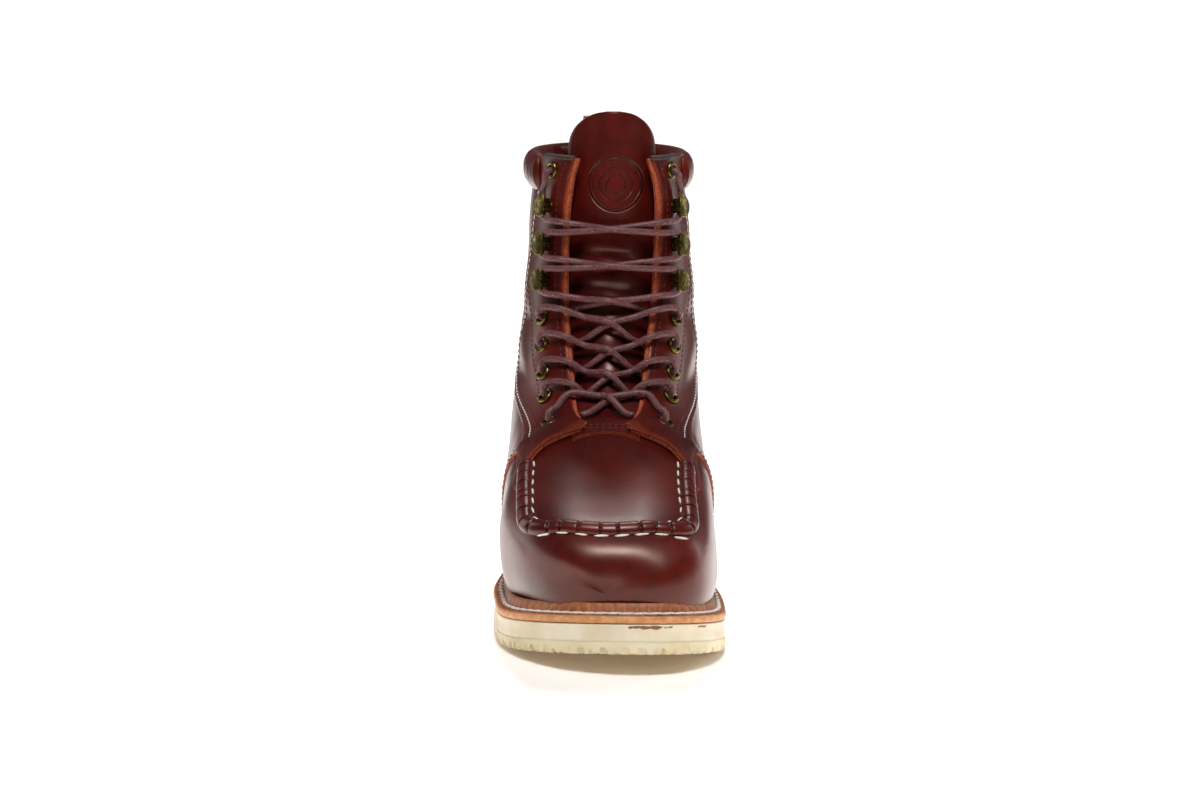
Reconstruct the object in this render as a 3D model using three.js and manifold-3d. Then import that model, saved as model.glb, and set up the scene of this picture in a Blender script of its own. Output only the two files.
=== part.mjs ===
import * as THREE from 'three';
import { mergeVertices } from 'three/addons/utils/BufferGeometryUtils.js';
import Module from 'manifold-3d';

// Wedge sole work boot with a moccasin toe, for the right foot. Millimetres, +Z up.
// The toe points to -Y, the big toe's side is +X, and the origin is on the floor under the middle.

const wasm = await Module();
wasm.setup();

// Driving dimensions of the sole
const soleLength = 300;
const ballWidth = 112;
const toeSpring = 11;
const outsoleThickness = 6;
const foreMidsole = 8.5;
const heelLift = 18.5;
const toeRoundLength = 64;
const heelRoundLength = 40;
const toeSwing = 0.22;
const lugPitch = 7;
const lugDepth = 1.5;
const lugReach = 1.1;
const treadMargin = 7;

// Driving dimensions of the welt
const weltThickness = 3.4;
const weltWidth = 7.6;
const stormRimHeight = 4.2;
const stormRimWidth = 4;

// Driving dimensions of the upper
const upperWall = 2.4;
const quarterStep = 1.3;
const facingStep = 1.2;
const throatHeight = 97;
const collarHeight = 226;
const collarRoll = 4.6;
const seamRollRadius = 2.7;
const seamRollHalfWidth = 39.5;
const seamRollFront = 29;

// Driving dimensions of the loose and small pieces
const clearance = 0.3;
const insoleThickness = 4;
const tongueThickness = 3;
const tongueRise = 24;
const tongueHalfWidth = 28;
const laceDiameter = 3.3;
const eyeletHole = 5;
const eyeletFlange = 9;
const eyeletBarrelWall = 0.5;
const hookPlateHeight = 11.6;
const hookPlateReach = 6.2;
const hookPlateThickness = 1.3;
const hookStandOff = 4.8;
const hookFoot = 0.8;
const loopWidth = 22;
const loopThickness = 2;
const loopRise = 15;

// Cubic curve through a table's rows, each [key, value, value ...], read at one key
function readTable(table, key, column) {
  const last = table.length - 1;
  let row = 0;
  while (row < last - 1 && key > table[row + 1][0]) row += 1;
  const [before, start, end, after] = [-1, 0, 1, 2].map(
    (step) => table[Math.min(Math.max(row + step, 0), last)]);
  const span = end[0] - start[0];
  const share = Math.min(Math.max((key - start[0]) / span, 0), 1);
  const leave = (end[column] - before[column]) / (end[0] - before[0]) * span;
  const arrive = (after[column] - start[column]) / (after[0] - start[0]) * span;
  const square = share * share;
  const cube = square * share;
  return start[column] * (2 * cube - 3 * square + 1) + leave * (cube - 2 * square + share)
    + end[column] * (3 * square - 2 * cube) + arrive * (cube - square);
}

const mix = (from, to, share) => from + (to - from) * share;

function smooth(low, high, value) {
  const share = Math.min(Math.max((value - low) / (high - low), 0), 1);
  return share * share * (3 - 2 * share);
}

// Sole plan. Along is a share of the length from the toe; middle and half are shares of ball width.
const soleMiddle = 1;
const soleHalf = 2;
const SOLE_PLAN = [
  // along, middle, half
  [0, 0.030, 0.452],
  [0.14, 0.030, 0.484],
  [0.27, 0.012, 0.500],
  [0.36, -0.012, 0.493],
  [0.50, -0.032, 0.425],
  [0.62, -0.030, 0.372],
  [0.76, -0.012, 0.352],
  [0.90, 0, 0.350],
  [1, 0, 0.345],
];

// Sole side view. Floor is a share of the toe spring and lift a share of the heel's lift.
const SOLE_SIDE = [
  // along, floor, lift
  [0, 1, 0],
  [0.07, 0.62, 0],
  [0.14, 0.28, 0],
  [0.21, 0.06, 0],
  [0.27, 0, 0],
  [0.36, 0, 0.03],
  [0.48, 0, 0.16],
  [0.62, 0, 0.50],
  [0.76, 0, 0.86],
  [0.88, 0, 0.98],
  [1, 0, 1],
];

const toeMiddle = ballWidth * 0.09;
const place = (along) => along - soleLength / 2;
const shareOf = (y) => Math.min(Math.max(y / soleLength + 0.5, 0), 1);
const floorAt = (y) => toeSpring * Math.max(readTable(SOLE_SIDE, shareOf(y), 1), 0);
const midsoleTop = (y) => floorAt(y) + outsoleThickness + foreMidsole
  + heelLift * readTable(SOLE_SIDE, shareOf(y), 2);

// Half an end's width, from 0 at its tip to 1 where the side runs on
const roundEnd = (share, power) => (1 - (1 - Math.min(Math.max(share, 0), 1)) ** power) ** (1 / power);

// The front of the foot is swung forwards on the big toe's side and back on the other
const swingLength = 0.34;
const swingAt = (x, y) => toeSwing * (x - toeMiddle) * (1 - smooth(0, swingLength, shareOf(y)));

// One side of the sole's edge, from toe to heel in equal steps of length
const edgeSteps = Math.round(soleLength * 2.56 / lugPitch);

function soleSide(side) {
  const fine = [];
  const fineSteps = 600;
  for (let step = 0; step <= fineSteps; step += 1) {
    const turn = Math.PI * step / fineSteps;
    const along = soleLength * (1 - Math.cos(turn)) / 2;
    const half = ballWidth * readTable(SOLE_PLAN, along / soleLength, soleHalf)
      * roundEnd(along / toeRoundLength, 2.3) * roundEnd((soleLength - along) / heelRoundLength, 2.1);
    const middle = ballWidth * readTable(SOLE_PLAN, along / soleLength, soleMiddle);
    const x = middle + side * half;
    fine.push(new THREE.Vector2(x, place(along) - swingAt(x, place(along))));
  }
  const lengths = [0];
  for (let step = 1; step <= fineSteps; step += 1) {
    lengths.push(lengths[step - 1] + fine[step].distanceTo(fine[step - 1]));
  }
  const points = [];
  let at = 0;
  for (let step = 0; step <= edgeSteps; step += 1) {
    const want = lengths[fineSteps] * step / edgeSteps;
    while (at < fineSteps - 1 && lengths[at + 1] < want) at += 1;
    const share = (want - lengths[at]) / (lengths[at + 1] - lengths[at]);
    points.push(fine[at].clone().lerp(fine[at + 1], share));
  }
  return points;
}

// The sole's edge, anticlockwise from above: the big toe's side, then the little toe's side back
const innerEdge = soleSide(1);
const outerEdge = soleSide(-1);
const soleEdge = innerEdge.concat(outerEdge.slice(1, -1).reverse());

// The edge moved inwards by a distance that may change from point to point
function insetEdge(insetAt) {
  return soleEdge.map((point, index) => {
    const count = soleEdge.length;
    const next = soleEdge[(index + 1) % count];
    const last = soleEdge[(index + count - 1) % count];
    const run = next.clone().sub(last).normalize();
    return point.clone().add(new THREE.Vector2(-run.y, run.x).multiplyScalar(insetAt(index)));
  });
}

function geometryFrom(positions, triangles) {
  const geometry = new THREE.BufferGeometry();
  geometry.setAttribute('position', new THREE.Float32BufferAttribute(positions, 3));
  geometry.setIndex(triangles);
  return geometry;
}

// A closed solid from rings of equal count, floor ring first, capped across from side to side
function stackSolid(rings) {
  const count = rings[0].length;
  const positions = rings.flat().flatMap((point) => [point.x, point.y, point.z]);
  const triangles = [];
  for (let ring = 0; ring < rings.length - 1; ring += 1) {
    for (let index = 0; index < count; index += 1) {
      const here = ring * count + index;
      const next = ring * count + (index + 1) % count;
      triangles.push(here, next, next + count, here, next + count, here + count);
    }
  }
  const top = (rings.length - 1) * count;
  for (let step = 0; step < count / 2; step += 1) {
    const [a, b] = [step, step + 1];
    const c = (count - step - 1) % count;
    const d = (count - step) % count;
    if (b !== c) {
      triangles.push(a, c, b);
      triangles.push(top + a, top + b, top + c);
    }
    if (step > 0) {
      triangles.push(a, d, c);
      triangles.push(top + a, top + c, top + d);
    }
  }
  return geometryFrom(positions, triangles);
}

const edgeRing = (insetAt, heightAt) => insetEdge(insetAt).map(
  (point, index) => new THREE.Vector3(point.x, point.y, heightAt(point.y, index)));
const even = (value) => () => value;

function solidOf(geometry) {
  const plain = geometry.clone();
  plain.deleteAttribute('normal');
  plain.deleteAttribute('uv');
  const merged = mergeVertices(plain, 1e-4);
  return new wasm.Manifold(new wasm.Mesh({
    numProp: 3,
    vertProperties: new Float32Array(merged.attributes.position.array),
    triVerts: new Uint32Array(merged.index.array),
  }));
}

function geometryOf(solid) {
  const mesh = solid.getMesh();
  return geometryFrom(Array.from(mesh.vertProperties), Array.from(mesh.triVerts));
}

// The upper's sections. A section spans from its front point, on the toe, instep or shin, to its
// back point, under the foot, on the heel or up the back. Along is a share of the sole's length.
// Up is a share of the throat's height, and past 1 of what is left to the collar. Rise is measured
// from the seat in shares of the heel's height up to the collar. Half is a share of ball width, level
// is where the section is widest, and crown and base are how square it is above and below that. The
// two middles are shares of ball width too: how far the front and back points lie from the plane
// through the sole's ends, towards the big toe.
const SECTIONS = [
  // front along, up, back along, rise, half, level, crown, base, front middle, back middle
  [0.0190, 0.392, 0.0190, 0.068, 0.000, 0.60, 2.3, 2.1, 0.000, 0.000],
  [0.0215, 0.464, 0.0215, 0.016, 0.106, 0.60, 2.4, 2.0, 0.000, 0.012],
  [0.0300, 0.536, 0.0300, -0.029, 0.190, 0.64, 2.6, 2.1, 0.010, 0.036],
  [0.0490, 0.606, 0.0490, -0.047, 0.272, 0.60, 2.8, 2.3, 0.012, 0.056],
  [0.0945, 0.683, 0.0945, -0.045, 0.366, 0.57, 3.0, 2.5, 0.014, 0.062],
  [0.160, 0.753, 0.160, -0.042, 0.430, 0.56, 3.0, 2.8, 0.004, 0.050],
  [0.250, 0.845, 0.250, -0.042, 0.470, 0.53, 2.9, 3.4, -0.006, 0.028],
  [0.333, 0.938, 0.340, -0.042, 0.472, 0.51, 2.75, 3.8, -0.006, 0.012],
  [0.380, 1.004, 0.407, -0.042, 0.470, 0.495, 2.65, 4.0, -0.006, 0.000],
  [0.427, 1.054, 0.487, -0.042, 0.462, 0.475, 2.5, 3.5, -0.005, -0.008],
  [0.473, 1.132, 0.573, -0.042, 0.449, 0.46, 2.4, 3.2, -0.005, -0.026],
  [0.507, 1.217, 0.667, -0.042, 0.438, 0.46, 2.35, 3.0, -0.006, -0.040],
  [0.533, 1.318, 0.767, -0.042, 0.430, 0.48, 2.35, 3.1, -0.006, -0.060],
  [0.552, 1.411, 0.873, -0.036, 0.422, 0.51, 2.4, 2.9, -0.004, -0.064],
  [0.562, 1.519, 0.960, 0.013, 0.412, 0.52, 2.45, 2.5, -0.001, -0.060],
  [0.567, 1.612, 0.990, 0.158, 0.402, 0.52, 2.45, 2.2, 0.001, -0.054],
  [0.571, 1.698, 0.978, 0.345, 0.391, 0.52, 2.4, 2.1, 0.004, -0.044],
  [0.573, 1.767, 0.965, 0.553, 0.376, 0.52, 2.35, 2.1, 0.007, -0.050],
  [0.574, 1.822, 0.963, 0.771, 0.358, 0.51, 2.3, 2.1, 0.010, -0.054],
  [0.575, 1.860, 0.965, 0.9065, 0.345, 0.50, 2.3, 2.1, 0.012, -0.056],
  [0.576, 1.907, 0.967, 0.9377, 0.347, 0.50, 2.3, 2.1, 0.012, -0.056],
  [0.577, 1.953, 0.969, 0.9688, 0.349, 0.50, 2.3, 2.1, 0.012, -0.056],
  [0.577, 2.000, 0.970, 1.0000, 0.349, 0.50, 2.3, 2.1, 0.012, -0.056],
  [0.578, 2.093, 0.972, 1.0620, 0.351, 0.50, 2.3, 2.1, 0.012, -0.056],
  [0.579, 2.202, 0.973, 1.1350, 0.353, 0.50, 2.3, 2.1, 0.012, -0.056],
];
const throatRow = 8;
const rollStartRow = 19;
const collarRow = 22;
const lastRow = SECTIONS.length - 1;

const upAt = (up) => (up <= 1 ? up * throatHeight
  : throatHeight + (up - 1) * (collarHeight - throatHeight));
const heelSeat = midsoleTop(place(soleLength));

// Each section's own lengths in millimetres, keyed by its row
const sectionRows = SECTIONS.map((row, index) => {
  const [frontAlong, up, backAlong, rise, half, level, crown, base, frontMiddle, backMiddle] = row;
  const front = new THREE.Vector2(place(frontAlong * soleLength), upAt(up));
  const backY = place(backAlong * soleLength);
  const backZ = midsoleTop(backY) + rise * (collarHeight - heelSeat);
  const back = index === 0 ? front.clone() : new THREE.Vector2(backY, backZ);
  return [index, front.x, front.y, back.x, back.y, half * ballWidth, level, crown, base,
    frontMiddle * ballWidth, backMiddle * ballWidth];
});

function sectionAt(row) {
  const value = (column) => readTable(sectionRows, row, column);
  return {
    front: new THREE.Vector3(value(9), value(1), value(2)),
    back: new THREE.Vector3(value(10), value(3), value(4)),
    half: value(5),
    level: value(6),
    crown: value(7),
    base: value(8),
  };
}

const swungShare = 0.75;
function sectionPoint(section, across, share) {
  const point = section.back.clone().lerp(section.front, share);
  point.x += across;
  point.y -= swingAt(point.x, point.y) * (1 - smooth(swungShare, 1, share));
  return point;
}

// A point round a section. Turn 0 is its back point, a quarter the big toe's side, a half its front.
function ringPoint(row, turn) {
  const section = sectionAt(row);
  const angle = (turn - 0.25) * 2 * Math.PI;
  const [side, rise] = [Math.cos(angle), Math.sin(angle)];
  const power = rise > 0 ? section.crown : section.base;
  const reach = (Math.abs(side) ** power + Math.abs(rise) ** power) ** (-1 / power);
  const span = rise > 0 ? 1 - section.level : section.level;
  return sectionPoint(section, section.half * side * reach, section.level + span * rise * reach);
}

// A point on a section's front half at a distance across from its own middle
function frontPoint(row, across) {
  const section = sectionAt(row);
  const share = Math.min(Math.abs(across) / section.half, 1);
  const rise = (1 - share ** section.crown) ** (1 / section.crown);
  return sectionPoint(section, across, section.level + (1 - section.level) * rise);
}

const tinyStep = 0.01;

function ringNormal(row, turn) {
  const at = Math.max(row, 0.3);
  const along = ringPoint(at + tinyStep, turn).sub(ringPoint(at - tinyStep, turn));
  const round = ringPoint(at, turn + tinyStep).sub(ringPoint(at, turn - tinyStep));
  return along.cross(round).normalize();
}

function frontNormal(row, across) {
  const along = frontPoint(row + tinyStep, across).sub(frontPoint(row - tinyStep, across));
  const over = frontPoint(row, across + tinyStep).sub(frontPoint(row, across - tinyStep));
  return over.cross(along).normalize();
}

// The padded collar swells the wall between the roll's seam and the top edge
function rollAt(row, y) {
  const share = (row - rollStartRow) / (collarRow - rollStartRow);
  if (share <= 0 || share >= 1) return 0;
  const behindFacing = smooth(place((facingRear - 0.053) * soleLength), place((facingRear - 0.01) * soleLength), y);
  return behindFacing * Math.sqrt(1 - (2 * share - 1) ** 2);
}

const facingRear = 0.683;
const outerRows = [0.3, 0.7, 1.2, 1.8, 2.5, 3.2, 4, 4.8, 5.6, 6.4, 7.2, 8, 8.6, 9.2, 9.8, 10.4, 11, 11.6, 12.2,
  12.8, 13.4, 13.9, 14.4, 15, 15.7, 16.5, 17.4, 18.2, 19, 19.3, 20, 21, 21.7, 22];

// A closed form of the upper, its surface moved out along the normals
function upperForm(rows, count, offsetAt) {
  const tip = ringPoint(0, 0);
  tip.y -= offsetAt(0, tip.y);
  const rings = rows.map((row) => Array.from({ length: count }, (_, index) => {
    const point = ringPoint(row, index / count);
    return point.add(ringNormal(row, index / count).multiplyScalar(offsetAt(row, point.y)));
  }));
  const positions = [tip, ...rings.flat()].flatMap((point) => point.toArray());
  const last = rings[rings.length - 1];
  const lid = last.reduce((sum, point) => sum.add(point), new THREE.Vector3()).divideScalar(count);
  positions.push(...lid.toArray());
  const triangles = [];
  const lastRing = 1 + (rings.length - 1) * count;
  const lidIndex = lastRing + count;
  for (let index = 0; index < count; index += 1) {
    const next = (index + 1) % count;
    triangles.push(0, 1 + index, 1 + next);
    triangles.push(lidIndex, lastRing + next, lastRing + index);
    for (let ring = 0; ring < rings.length - 1; ring += 1) {
      const here = 1 + ring * count;
      triangles.push(here + index, here + count + next, here + next);
      triangles.push(here + index, here + count + index, here + count + next);
    }
  }
  return solidOf(geometryFrom(positions, triangles));
}

const roundCount = 28;
const liningRows = [0.7, 1.8, 3, 4.5, 6, 7.5, 9, 10.4, 11.6, 12.8, 13.8, 14.7, 16, 17.5, 19, 19.6, 20.5, 21.4, 22,
  22.6];
const liningCount = 22;

// Side outlines are drawn as (along, height) and pressed across the boot's whole width
function pressAcross(shape) {
  const width = ballWidth * 1.5;
  const geometry = new THREE.ExtrudeGeometry(shape, { depth: width, bevelEnabled: false, curveSegments: 10 });
  geometry.translate(0, 0, -width / 2);
  geometry.applyMatrix4(new THREE.Matrix4().makeBasis(
    new THREE.Vector3(0, 1, 0), new THREE.Vector3(0, 0, 1), new THREE.Vector3(1, 0, 0)));
  return solidOf(geometry);
}

// Front outlines are drawn as (across, height) and pressed back from the toe's side
function pressBack(shape, from, to) {
  const geometry = new THREE.ExtrudeGeometry(shape,
    { depth: to - from, bevelEnabled: false, curveSegments: 6 });
  geometry.rotateX(Math.PI / 2);
  geometry.translate(0, to, 0);
  return solidOf(geometry);
}

function outline(corners) {
  const shape = new THREE.Shape();
  corners.forEach(([along, up], index) => {
    const [y, z] = [place(along * soleLength), upAt(up)];
    if (index === 0) shape.moveTo(y, z);
    else shape.lineTo(y, z);
  });
  return shape;
}

// The quarter's raw front edge drops from the throat to a point on the vamp, behind which an arch
// is cut out of its lower edge. It runs back round the heel to the other side.
function quarterMask() {
  const frontAlong = 0.413;
  const archMiddle = 0.475;
  const archHalf = 0.052;
  const archFoot = 0.62;
  const archTop = 0.825;
  const shape = outline([[0.40, 1.11], [frontAlong - 0.008, 0.85], [frontAlong, 0.68],
    [archMiddle - archHalf, archFoot]]);
  shape.absellipse(place(archMiddle * soleLength), upAt(archFoot), archHalf * soleLength,
    upAt(archTop) - upAt(archFoot), Math.PI, 0, true);
  const rest = [[archMiddle + archHalf + 0.02, 0], [1.05, 0], [1.05, 1.855], [0.50, 1.855], [0.46, 1.27]];
  rest.forEach(([along, up]) => shape.lineTo(place(along * soleLength), upAt(up)));
  return pressAcross(shape);
}

// The facing carries the eyelets. Its rear edge runs from the raw front edge up to the collar.
function facingMask() {
  return pressAcross(outline([[0.40, 1.11], [0.407, 0.85], [0.50, 0.915], [0.59, 1.015], [0.652, 1.135],
    [facingRear - 0.008, 1.31], [facingRear, 1.55], [facingRear, 2.2], [0.45, 2.2], [0.46, 1.27]]));
}

// The throat is open from the tongue's base to the collar
const THROAT = [
  // up, half gap as a share of ball width
  [1.003, 0.090],
  [1.020, 0.128],
  [1.060, 0.149],
  [1.155, 0.165],
  [1.256, 0.178],
  [1.364, 0.196],
  [1.504, 0.205],
  [1.800, 0.207],
  [1.920, 0.190],
  [2.000, 0.165],
  [2.200, 0.160],
];
const throatHalf = (z) => ballWidth * readTable(THROAT, z <= throatHeight ? 1
  : 1 + (z - throatHeight) / (collarHeight - throatHeight), 1);

function throatMask() {
  const edge = (side) => THROAT.map(([up, half]) => {
    const row = bisect(throatRow - 1, lastRow, (value) => sectionAt(value).front.z - upAt(up));
    return new THREE.Vector2(sectionAt(row).front.x + side * half * ballWidth, upAt(up));
  });
  const shape = new THREE.Shape([...edge(1), ...edge(-1).reverse()]);
  return pressBack(shape, place(0.3 * soleLength), place(0.75 * soleLength));
}

const facingOut = quarterStep + facingStep;
const coarseEdge = 3;

// Solids between two heights of the sole's edge, with fewer steps than the lugs need
function layer(rings) {
  return stackSolid(rings.map(([insetAt, heightAt]) => {
    const ring = edgeRing(insetAt, heightAt);
    const side = edgeSteps + 1;
    const keep = ring.slice(0, side).filter((_, index) => index % coarseEdge === 0 || index === side - 1);
    const back = ring.slice(side).reverse();
    const keepBack = back.filter((_, index) => (index + 1) % coarseEdge === 0).reverse();
    return [...keep, ...keepBack];
  }));
}

const above = (height) => (y) => midsoleTop(y) + height;
const belowUpper = solidOf(layer([[even(-12), even(-40)], [even(-12), above(clearance)]]));

// The outsole's edge is cut into small lugs
function outsole() {
  const lug = (index) => (index % 2 === 0 ? 1 : 0);
  const rings = [
    edgeRing(even(treadMargin), (y) => floorAt(y)),
    edgeRing((index) => lug(index) * lugReach + 0.4, (y, index) => floorAt(y) + lug(index) * lugDepth),
    edgeRing(even(0), (y) => floorAt(y) + outsoleThickness),
  ];
  return stackSolid(rings);
}

// The wedge midsole is pulled in a little at half its height
function midsole() {
  const start = (y) => floorAt(y) + outsoleThickness + clearance;
  const half = (y) => (start(y) + midsoleTop(y)) / 2;
  return layer([[even(0.2), start], [even(0.9), half], [even(0.3), (y) => midsoleTop(y)]]);
}

const vampForm = upperForm(outerRows, roundCount,
  (row, y) => (quarterStep + collarRoll) * rollAt(row, y));
const quarterForm = upperForm(outerRows, roundCount, () => quarterStep);
const facingForm = upperForm(outerRows, roundCount, () => facingOut);
const liningForm = upperForm(liningRows, liningCount,
  (row, y) => -upperWall - collarRoll * 0.6 * rollAt(row, y));

// The storm welt lies on the midsole, and its rim stands up against the upper
function welt() {
  const rimInset = weltWidth - stormRimWidth;
  const body = layer([
    [even(0.2), above(clearance)],
    [even(0), above(clearance + weltThickness)],
    [even(rimInset), above(clearance + weltThickness)],
    [even(rimInset + 1.6), above(clearance + weltThickness + stormRimHeight)],
    [even(weltWidth + 3), above(clearance + weltThickness + stormRimHeight)],
  ]);
  const spaceForm = upperForm(outerRows, roundCount, (row) => (row > 7 ? quarterStep : 0) + clearance);
  return geometryOf(solidOf(body).subtract(spaceForm));
}

// The hollow upper: its wall between two forms, with quarters and facings as steps on the outside
function upper() {
  const facingPanel = facingForm.intersect(facingMask());
  const quarterPanel = quarterForm.intersect(quarterMask());
  let body = vampForm.add(quarterPanel).add(facingPanel);
  body = body.add(seamRoll()).subtract(liningForm).subtract(throatMask()).subtract(belowUpper);
  eyeletPlaces.forEach((eyelet) => {
    body = body.subtract(solidOf(eyeletBore(eyelet)));
  });
  return geometryOf(body);
}

// The puckered seam round the toe is a roll that follows the upper's own surface
function seamRoll() {
  const straightEnd = 0.43 * soleLength;
  const cornerSpan = 13;
  const points = [];
  const surfaceAt = (across, along) => {
    const row = rowAtAlong(place(along));
    return frontPoint(row, across).add(frontNormal(row, across).multiplyScalar(-seamRollRadius * 0.35));
  };
  const cornerStart = seamRollFront + cornerSpan;
  for (let step = 0; step <= 6; step += 1) {
    points.push(surfaceAt(seamRollHalfWidth, mix(straightEnd, cornerStart, step / 6)));
  }
  for (let step = 1; step <= 4; step += 1) {
    const angle = Math.PI / 2 * step / 4;
    points.push(surfaceAt(seamRollHalfWidth - cornerSpan * (1 - Math.cos(angle)),
      cornerStart - cornerSpan * Math.sin(angle)));
  }
  const half = points.slice();
  points.push(surfaceAt(0, seamRollFront - 1));
  half.reverse().forEach((point) => {
    const row = rowAtAlong(point.y);
    points.push(new THREE.Vector3(2 * sectionAt(row).front.x - point.x, point.y, point.z));
  });
  return solidOf(tubeAlong(points, seamRollRadius, 28));
}

// The row whose front point lies at a place along the boot
function rowAtAlong(y) {
  return bisect(1, throatRow + 2, (row) => sectionAt(row).front.y - y);
}

function bisect(low, high, measure) {
  let [from, to] = [low, high];
  for (let step = 0; step < 40; step += 1) {
    const middle = (from + to) / 2;
    if (measure(middle) < 0) from = middle;
    else to = middle;
  }
  return (from + to) / 2;
}

function tubeAlong(points, radius, steps) {
  const section = new THREE.Shape();
  section.absarc(0, 0, radius, 0, 2 * Math.PI, false);
  return new THREE.ExtrudeGeometry(section, {
    steps,
    curveSegments: 4,
    bevelEnabled: false,
    extrudePath: new THREE.CatmullRomCurve3(points),
  });
}

// A place on the facing: where it is, and which ways are out of it, up along it and away from the
// throat
function facingPlace(height, across) {
  const row = bisect(throatRow - 1, lastRow - 1, (value) => frontPoint(value, across).z - height);
  const out = frontNormal(row, across);
  const up = frontPoint(row + 0.05, across).sub(frontPoint(row - 0.05, across)).normalize();
  const away = up.clone().cross(out).multiplyScalar(across > 0 ? 1 : -1).normalize();
  const at = frontPoint(row, across);
  return {
    side: across > 0 ? 'medial' : 'lateral',
    sign: Math.sign(across),
    out,
    up,
    away,
    point: (awayBy, upBy, outBy) => at.clone().addScaledVector(away, awayBy)
      .addScaledVector(up, upBy).addScaledVector(out, outBy),
  };
}

// Rows of lace holes and hooks, from the toe's side up
const LACE_ROWS = [
  // up, half spacing as a share of ball width, hooks
  [1.000, 0.250, false],
  [1.078, 0.272, false],
  [1.159, 0.281, false],
  [1.256, 0.288, false],
  [1.364, 0.292, false],
  [1.508, 0.279, true],
  [1.651, 0.278, true],
  [1.798, 0.270, true],
  [1.948, 0.257, false],
];
const laceRows = LACE_ROWS.map(([up, half, hooks], index) => ({
  name: index + 1,
  hooks,
  height: upAt(up),
  places: [1, -1].map((sign) => facingPlace(upAt(up), sign * half * ballWidth)),
}));
const eyeletPlaces = laceRows.filter((row) => !row.hooks).flatMap((row) => row.places);

function turnedTo(geometry, at, x, y, z) {
  geometry.applyMatrix4(new THREE.Matrix4().makeBasis(x, y, z).setPosition(at));
  return geometry;
}

const barrelRadius = eyeletHole / 2 + eyeletBarrelWall;

function eyeletBore(eyelet) {
  const bore = new THREE.CylinderGeometry(barrelRadius + clearance, barrelRadius + clearance, 24, 8);
  bore.rotateX(Math.PI / 2);
  return turnedTo(bore, eyelet.point(0, 0, 0), eyelet.away.clone().multiplyScalar(eyelet.sign),
    eyelet.up, eyelet.out);
}

// An eyelet is a turned ring with a flange on the facing and a barrel through it
function eyeletShape() {
  const hole = eyeletHole / 2;
  const flange = eyeletFlange / 2;
  const barrel = facingOut + upperWall;
  const profile = [[hole, -barrel], [barrelRadius, -barrel], [barrelRadius, 0], [flange, 0],
    [flange - 0.5, 0.9], [hole + 0.3, 1], [hole, -barrel]];
  const ring = new THREE.LatheGeometry(profile.map(([x, y]) => new THREE.Vector2(x, y)), 8);
  ring.rotateX(Math.PI / 2);
  return ring;
}

// A lace hook is a riveted foot, a neck on the throat's side and a half-moon plate held off it
function hookShape() {
  const foot = new THREE.CylinderGeometry(3.4, 3.6, hookFoot, 8);
  foot.rotateX(Math.PI / 2);
  foot.translate(0, 0, hookFoot / 2);
  const neck = new THREE.BoxGeometry(1.5, hookPlateHeight * 0.6, hookStandOff + 0.6);
  neck.translate(-2.4, 0, hookStandOff / 2 + 0.3);
  const shape = new THREE.Shape();
  shape.moveTo(-3.3, -hookPlateHeight / 2);
  shape.absellipse(-0.6, 0, hookPlateReach, hookPlateHeight / 2, -Math.PI / 2, Math.PI / 2, false);
  shape.lineTo(-3.3, hookPlateHeight / 2);
  const plate = new THREE.ExtrudeGeometry(shape,
    { depth: hookPlateThickness, bevelEnabled: false, curveSegments: 5 });
  plate.translate(0, 0, hookStandOff);
  return geometryOf(solidOf(foot).add(solidOf(neck)).add(solidOf(plate)));
}

// The tongue's half width along its length: narrow where it is sewn to the vamp, round at the top
const tongueBaseRow = throatRow - 0.12;
const tongueTopUp = 2 + tongueRise / (collarHeight - throatHeight);
const tongueTopRow = bisect(collarRow, lastRow + 0, (row) => sectionAt(row).front.z - upAt(tongueTopUp));
const laceRoom = laceDiameter + clearance;

function tongueHalf(row) {
  const base = throatHalf(sectionAt(throatRow + 1.2).front.z) - 6;
  const full = mix(base, tongueHalfWidth, smooth(throatRow + 1.3, throatRow + 3, row));
  const arch = Math.max(row - collarRow, 0) / (tongueTopRow - collarRow);
  return full * Math.sqrt(Math.max(1 - arch ** 2.4, 0.02));
}

// How far the tongue's face lies out of the upper's own surface: it laps over the vamp at its base,
// swells between the facings and lies a lace's thickness under them
function tongueFace(row, across) {
  const under = -upperWall - laceRoom;
  const gap = throatHalf(sectionAt(row).front.z);
  const swell = mix(-0.8, under, smooth(0, gap, Math.abs(across)));
  return mix(clearance + tongueThickness, swell, smooth(throatRow + 0.2, throatRow + 1.35, row));
}

function tonguePoint(row, share, depth) {
  const across = share * tongueHalf(row);
  const point = frontPoint(row, across);
  return point.addScaledVector(frontNormal(row, across), tongueFace(row, across) - depth);
}

// A closed sheet from a grid of face points and the grid behind it
function sheetSolid(face, back) {
  const [rows, columns] = [face.length, face[0].length];
  const positions = [...face.flat(), ...back.flat()].flatMap((point) => point.toArray());
  const front = (row, column) => row * columns + column;
  const behind = (row, column) => rows * columns + front(row, column);
  const triangles = [];
  const quad = (a, b, c, d) => triangles.push(a, b, c, a, c, d);
  for (let row = 0; row < rows - 1; row += 1) {
    for (let column = 0; column < columns - 1; column += 1) {
      quad(front(row, column), front(row, column + 1), front(row + 1, column + 1), front(row + 1, column));
      quad(behind(row, column), behind(row + 1, column), behind(row + 1, column + 1),
        behind(row, column + 1));
    }
    quad(front(row, 0), front(row + 1, 0), behind(row + 1, 0), behind(row, 0));
    const end = columns - 1;
    quad(front(row, end), behind(row, end), behind(row + 1, end), front(row + 1, end));
  }
  for (let column = 0; column < columns - 1; column += 1) {
    const end = rows - 1;
    quad(front(0, column), behind(0, column), behind(0, column + 1), front(0, column + 1));
    quad(front(end, column), front(end, column + 1), behind(end, column + 1), behind(end, column));
  }
  return geometryFrom(positions, triangles);
}

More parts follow.
